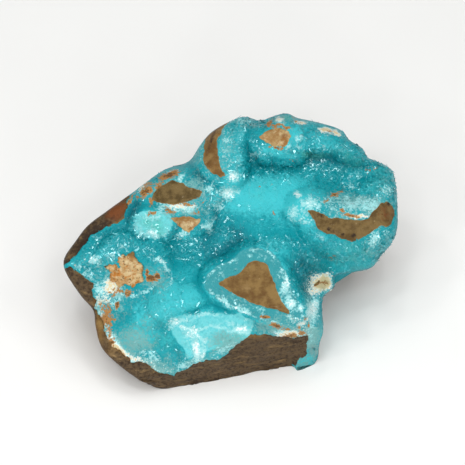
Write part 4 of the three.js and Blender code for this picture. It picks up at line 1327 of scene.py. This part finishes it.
# Its colour from the bottom up: a smooth face, olive and tan knobs with their grains, specks, the
# broken walls, stains, very dark patches that are partly painted shade, and a paler line along a
# knob's edge
faceLayers = [
    (steps["blotch"], tint["face"]), (steps["scratch"], tint["faceLight"]),
    (steps["line"], tint["faceLine"]),
]
wallLayers = [(steps["dark"], tint["wallDark"]), (steps["streak"], tint["wallLight"])]
oliveColour = layeredColour(tree, tint["oliveDark"], [(steps["blotch"], tint["olive"])])
tanColour = layeredColour(tree, tint["tanDark"], [(steps["blotch"], tint["tan"])])
grains = [
    (maskShare(tree, mask[key], texture[name], *step), tint[grainTint])
    for key, grainTint, name, *step in (
        ("tan", "pale", "crumb", 5.0, 0.6, 1.8),
        ("rough", "rusty", "speckle", 6.0, 0.9, 1.8),
        ("rough", "faceDark", "grain", 6.0, 1.4, 2.0),
    )
]
# Red stains, and very dark patches: the rock's own specks and painted shade
stainsAndShade = [
    (maskShare(tree, mask[key], texture["grain"], 1.2, 0.3, 0.9), tint[key])
    for key in ("red", "burnt")
]
edgeShare = addNode(
    tree, "ShaderNodeMapRange", {"interpolation_type": "SMOOTHSTEP"},
    {"Value": mask["edge"], "From Min": -0.4, "From Max": -0.1, "To Max": 0.35},
)
rockLayers = [
    (mask["olive"], oliveColour), (mask["tan"], tanColour), *grains,
    (steps["speck"], tint["speck"]),
    (mask["wallFace"], layeredColour(tree, tint["wall"], wallLayers)), *stainsAndShade,
    ((edgeShare, 0), tint["edge"]),
]
colour = layeredColour(tree, layeredColour(tree, tint["faceDark"], faceLayers), rockLayers)
bump = addNode(
    tree, "ShaderNodeBump", None,
    {"Strength": 1.0, "Distance": rockFinish["bump"] * mm, "Height": texture["grain"]},
)
surface = addNode(
    tree, "ShaderNodeBsdfPrincipled", None,
    {
        "Base Color": colour, "Roughness": rockFinish["roughness"], "IOR": rockFinish["ior"],
        "Specular IOR Level": rockFinish["gloss"], "Normal": (bump, 0),
    },
)
addNode(tree, "ShaderNodeOutputMaterial", None, {"Surface": (surface, 0)})
rock.data.materials.append(material)
print("materials ready")

# Floor, light and camera

studio = {
    "floorSize": 3.0,  # metres, as in the lamps' rows
    "floorColour": "#f2f2f0",
    "world": ("#ffffff", 0.22),  # colour and strength
    "soft": [((0.0, 0.3, 1.2), 1.4, 4.8), ((0.0, -0.95, 1.15), 1.4, 4.0)],  # place, size, power
    "small": {"count": 20, "away": 0.8, "size": 0.07, "power": 0.31, "widest": 56},  # degrees
}
floorMesh = bpy.data.meshes.new("floor")
half = studio["floorSize"] / 2
floorCorners = [(-half, -half, 0), (half, -half, 0), (half, half, 0), (-half, half, 0)]
floorMesh.from_pydata(floorCorners, [], [(0, 1, 2, 3)])
floor = bpy.data.objects.new("floor", floorMesh)
bpy.context.scene.collection.objects.link(floor)

# Matt paper, with hardly any shine
material, tree = newMaterial("studioPaper")
surface = addNode(
    tree, "ShaderNodeBsdfPrincipled", None,
    {
        "Base Color": linearColour(studio["floorColour"]), "Roughness": 0.8,
        "Specular IOR Level": 0.1,
    },
)
addNode(tree, "ShaderNodeOutputMaterial", None, {"Surface": (surface, 0)})
floorMesh.materials.append(material)

# Even white light from all round, under what the lamps give
world = bpy.data.worlds.new("studio")
world.use_nodes = True
background = world.node_tree.nodes["Background"]
background.inputs["Color"].default_value = linearColour(studio["world"][0])
background.inputs["Strength"].default_value = studio["world"][1]
bpy.context.scene.world = world

# The small lamps lie on a golden-angle spiral round the face's own direction and make the glints:
# the nth is turned by n golden angles, and leans by the widest angle times sqrt((n + 0.5) / count)
small = studio["small"]
turns = np.arange(small["count"]) * pi * (3 - np.sqrt(5))
slants = np.radians(small["widest"]) * np.sqrt((np.arange(small["count"]) + 0.5) / small["count"])
directions = np.outer(np.sin(slants) * np.cos(turns), [1, 0, 0]) + np.outer(np.cos(slants), faceOut)
directions = directions + np.outer(np.sin(slants) * np.sin(turns), faceUp)
places = directions * small["away"]
lamps = studio["soft"] + [(at, small["size"], small["power"]) for at in places if at[2] > 0.1]
for number, (at, size, power) in enumerate(lamps):
    lamp = bpy.data.lights.new(f"lamp{number}", "AREA")
    lamp.size, lamp.energy = size, power
    lampObject = bpy.data.objects.new(f"lamp{number}", lamp)
    lampObject.location = at
    towards = Vector((0, 0, 0.02)) - Vector(at)
    lampObject.rotation_euler = towards.to_track_quat("-Z", "Y").to_euler()
    lampObject.visible_glossy = size < 1  # the soft lamps only fill
    bpy.context.scene.collection.objects.link(lampObject)

# The camera looks straight down on to the face's own frame
view = {"lens": 300, "width": 138.8, "aim": (-2.25, 8.25, -2.0)}  # width in mm at the aim
cameraData = bpy.data.cameras.new("camera")
cameraData.lens = view["lens"]
cameraData.clip_end = 10
camera = bpy.data.objects.new("camera", cameraData)
aim = (onFace(*np.array(view["aim"])) + shift) * mm
distance = view["width"] * mm * view["lens"] / cameraData.sensor_width
camera.location = Vector(aim + faceOut * distance)
camera.rotation_euler = (radians(90 - block["elevation"]), 0, 0)
bpy.context.scene.collection.objects.link(camera)
bpy.context.scene.camera = camera
bpy.context.scene.view_settings.view_transform = "Standard"
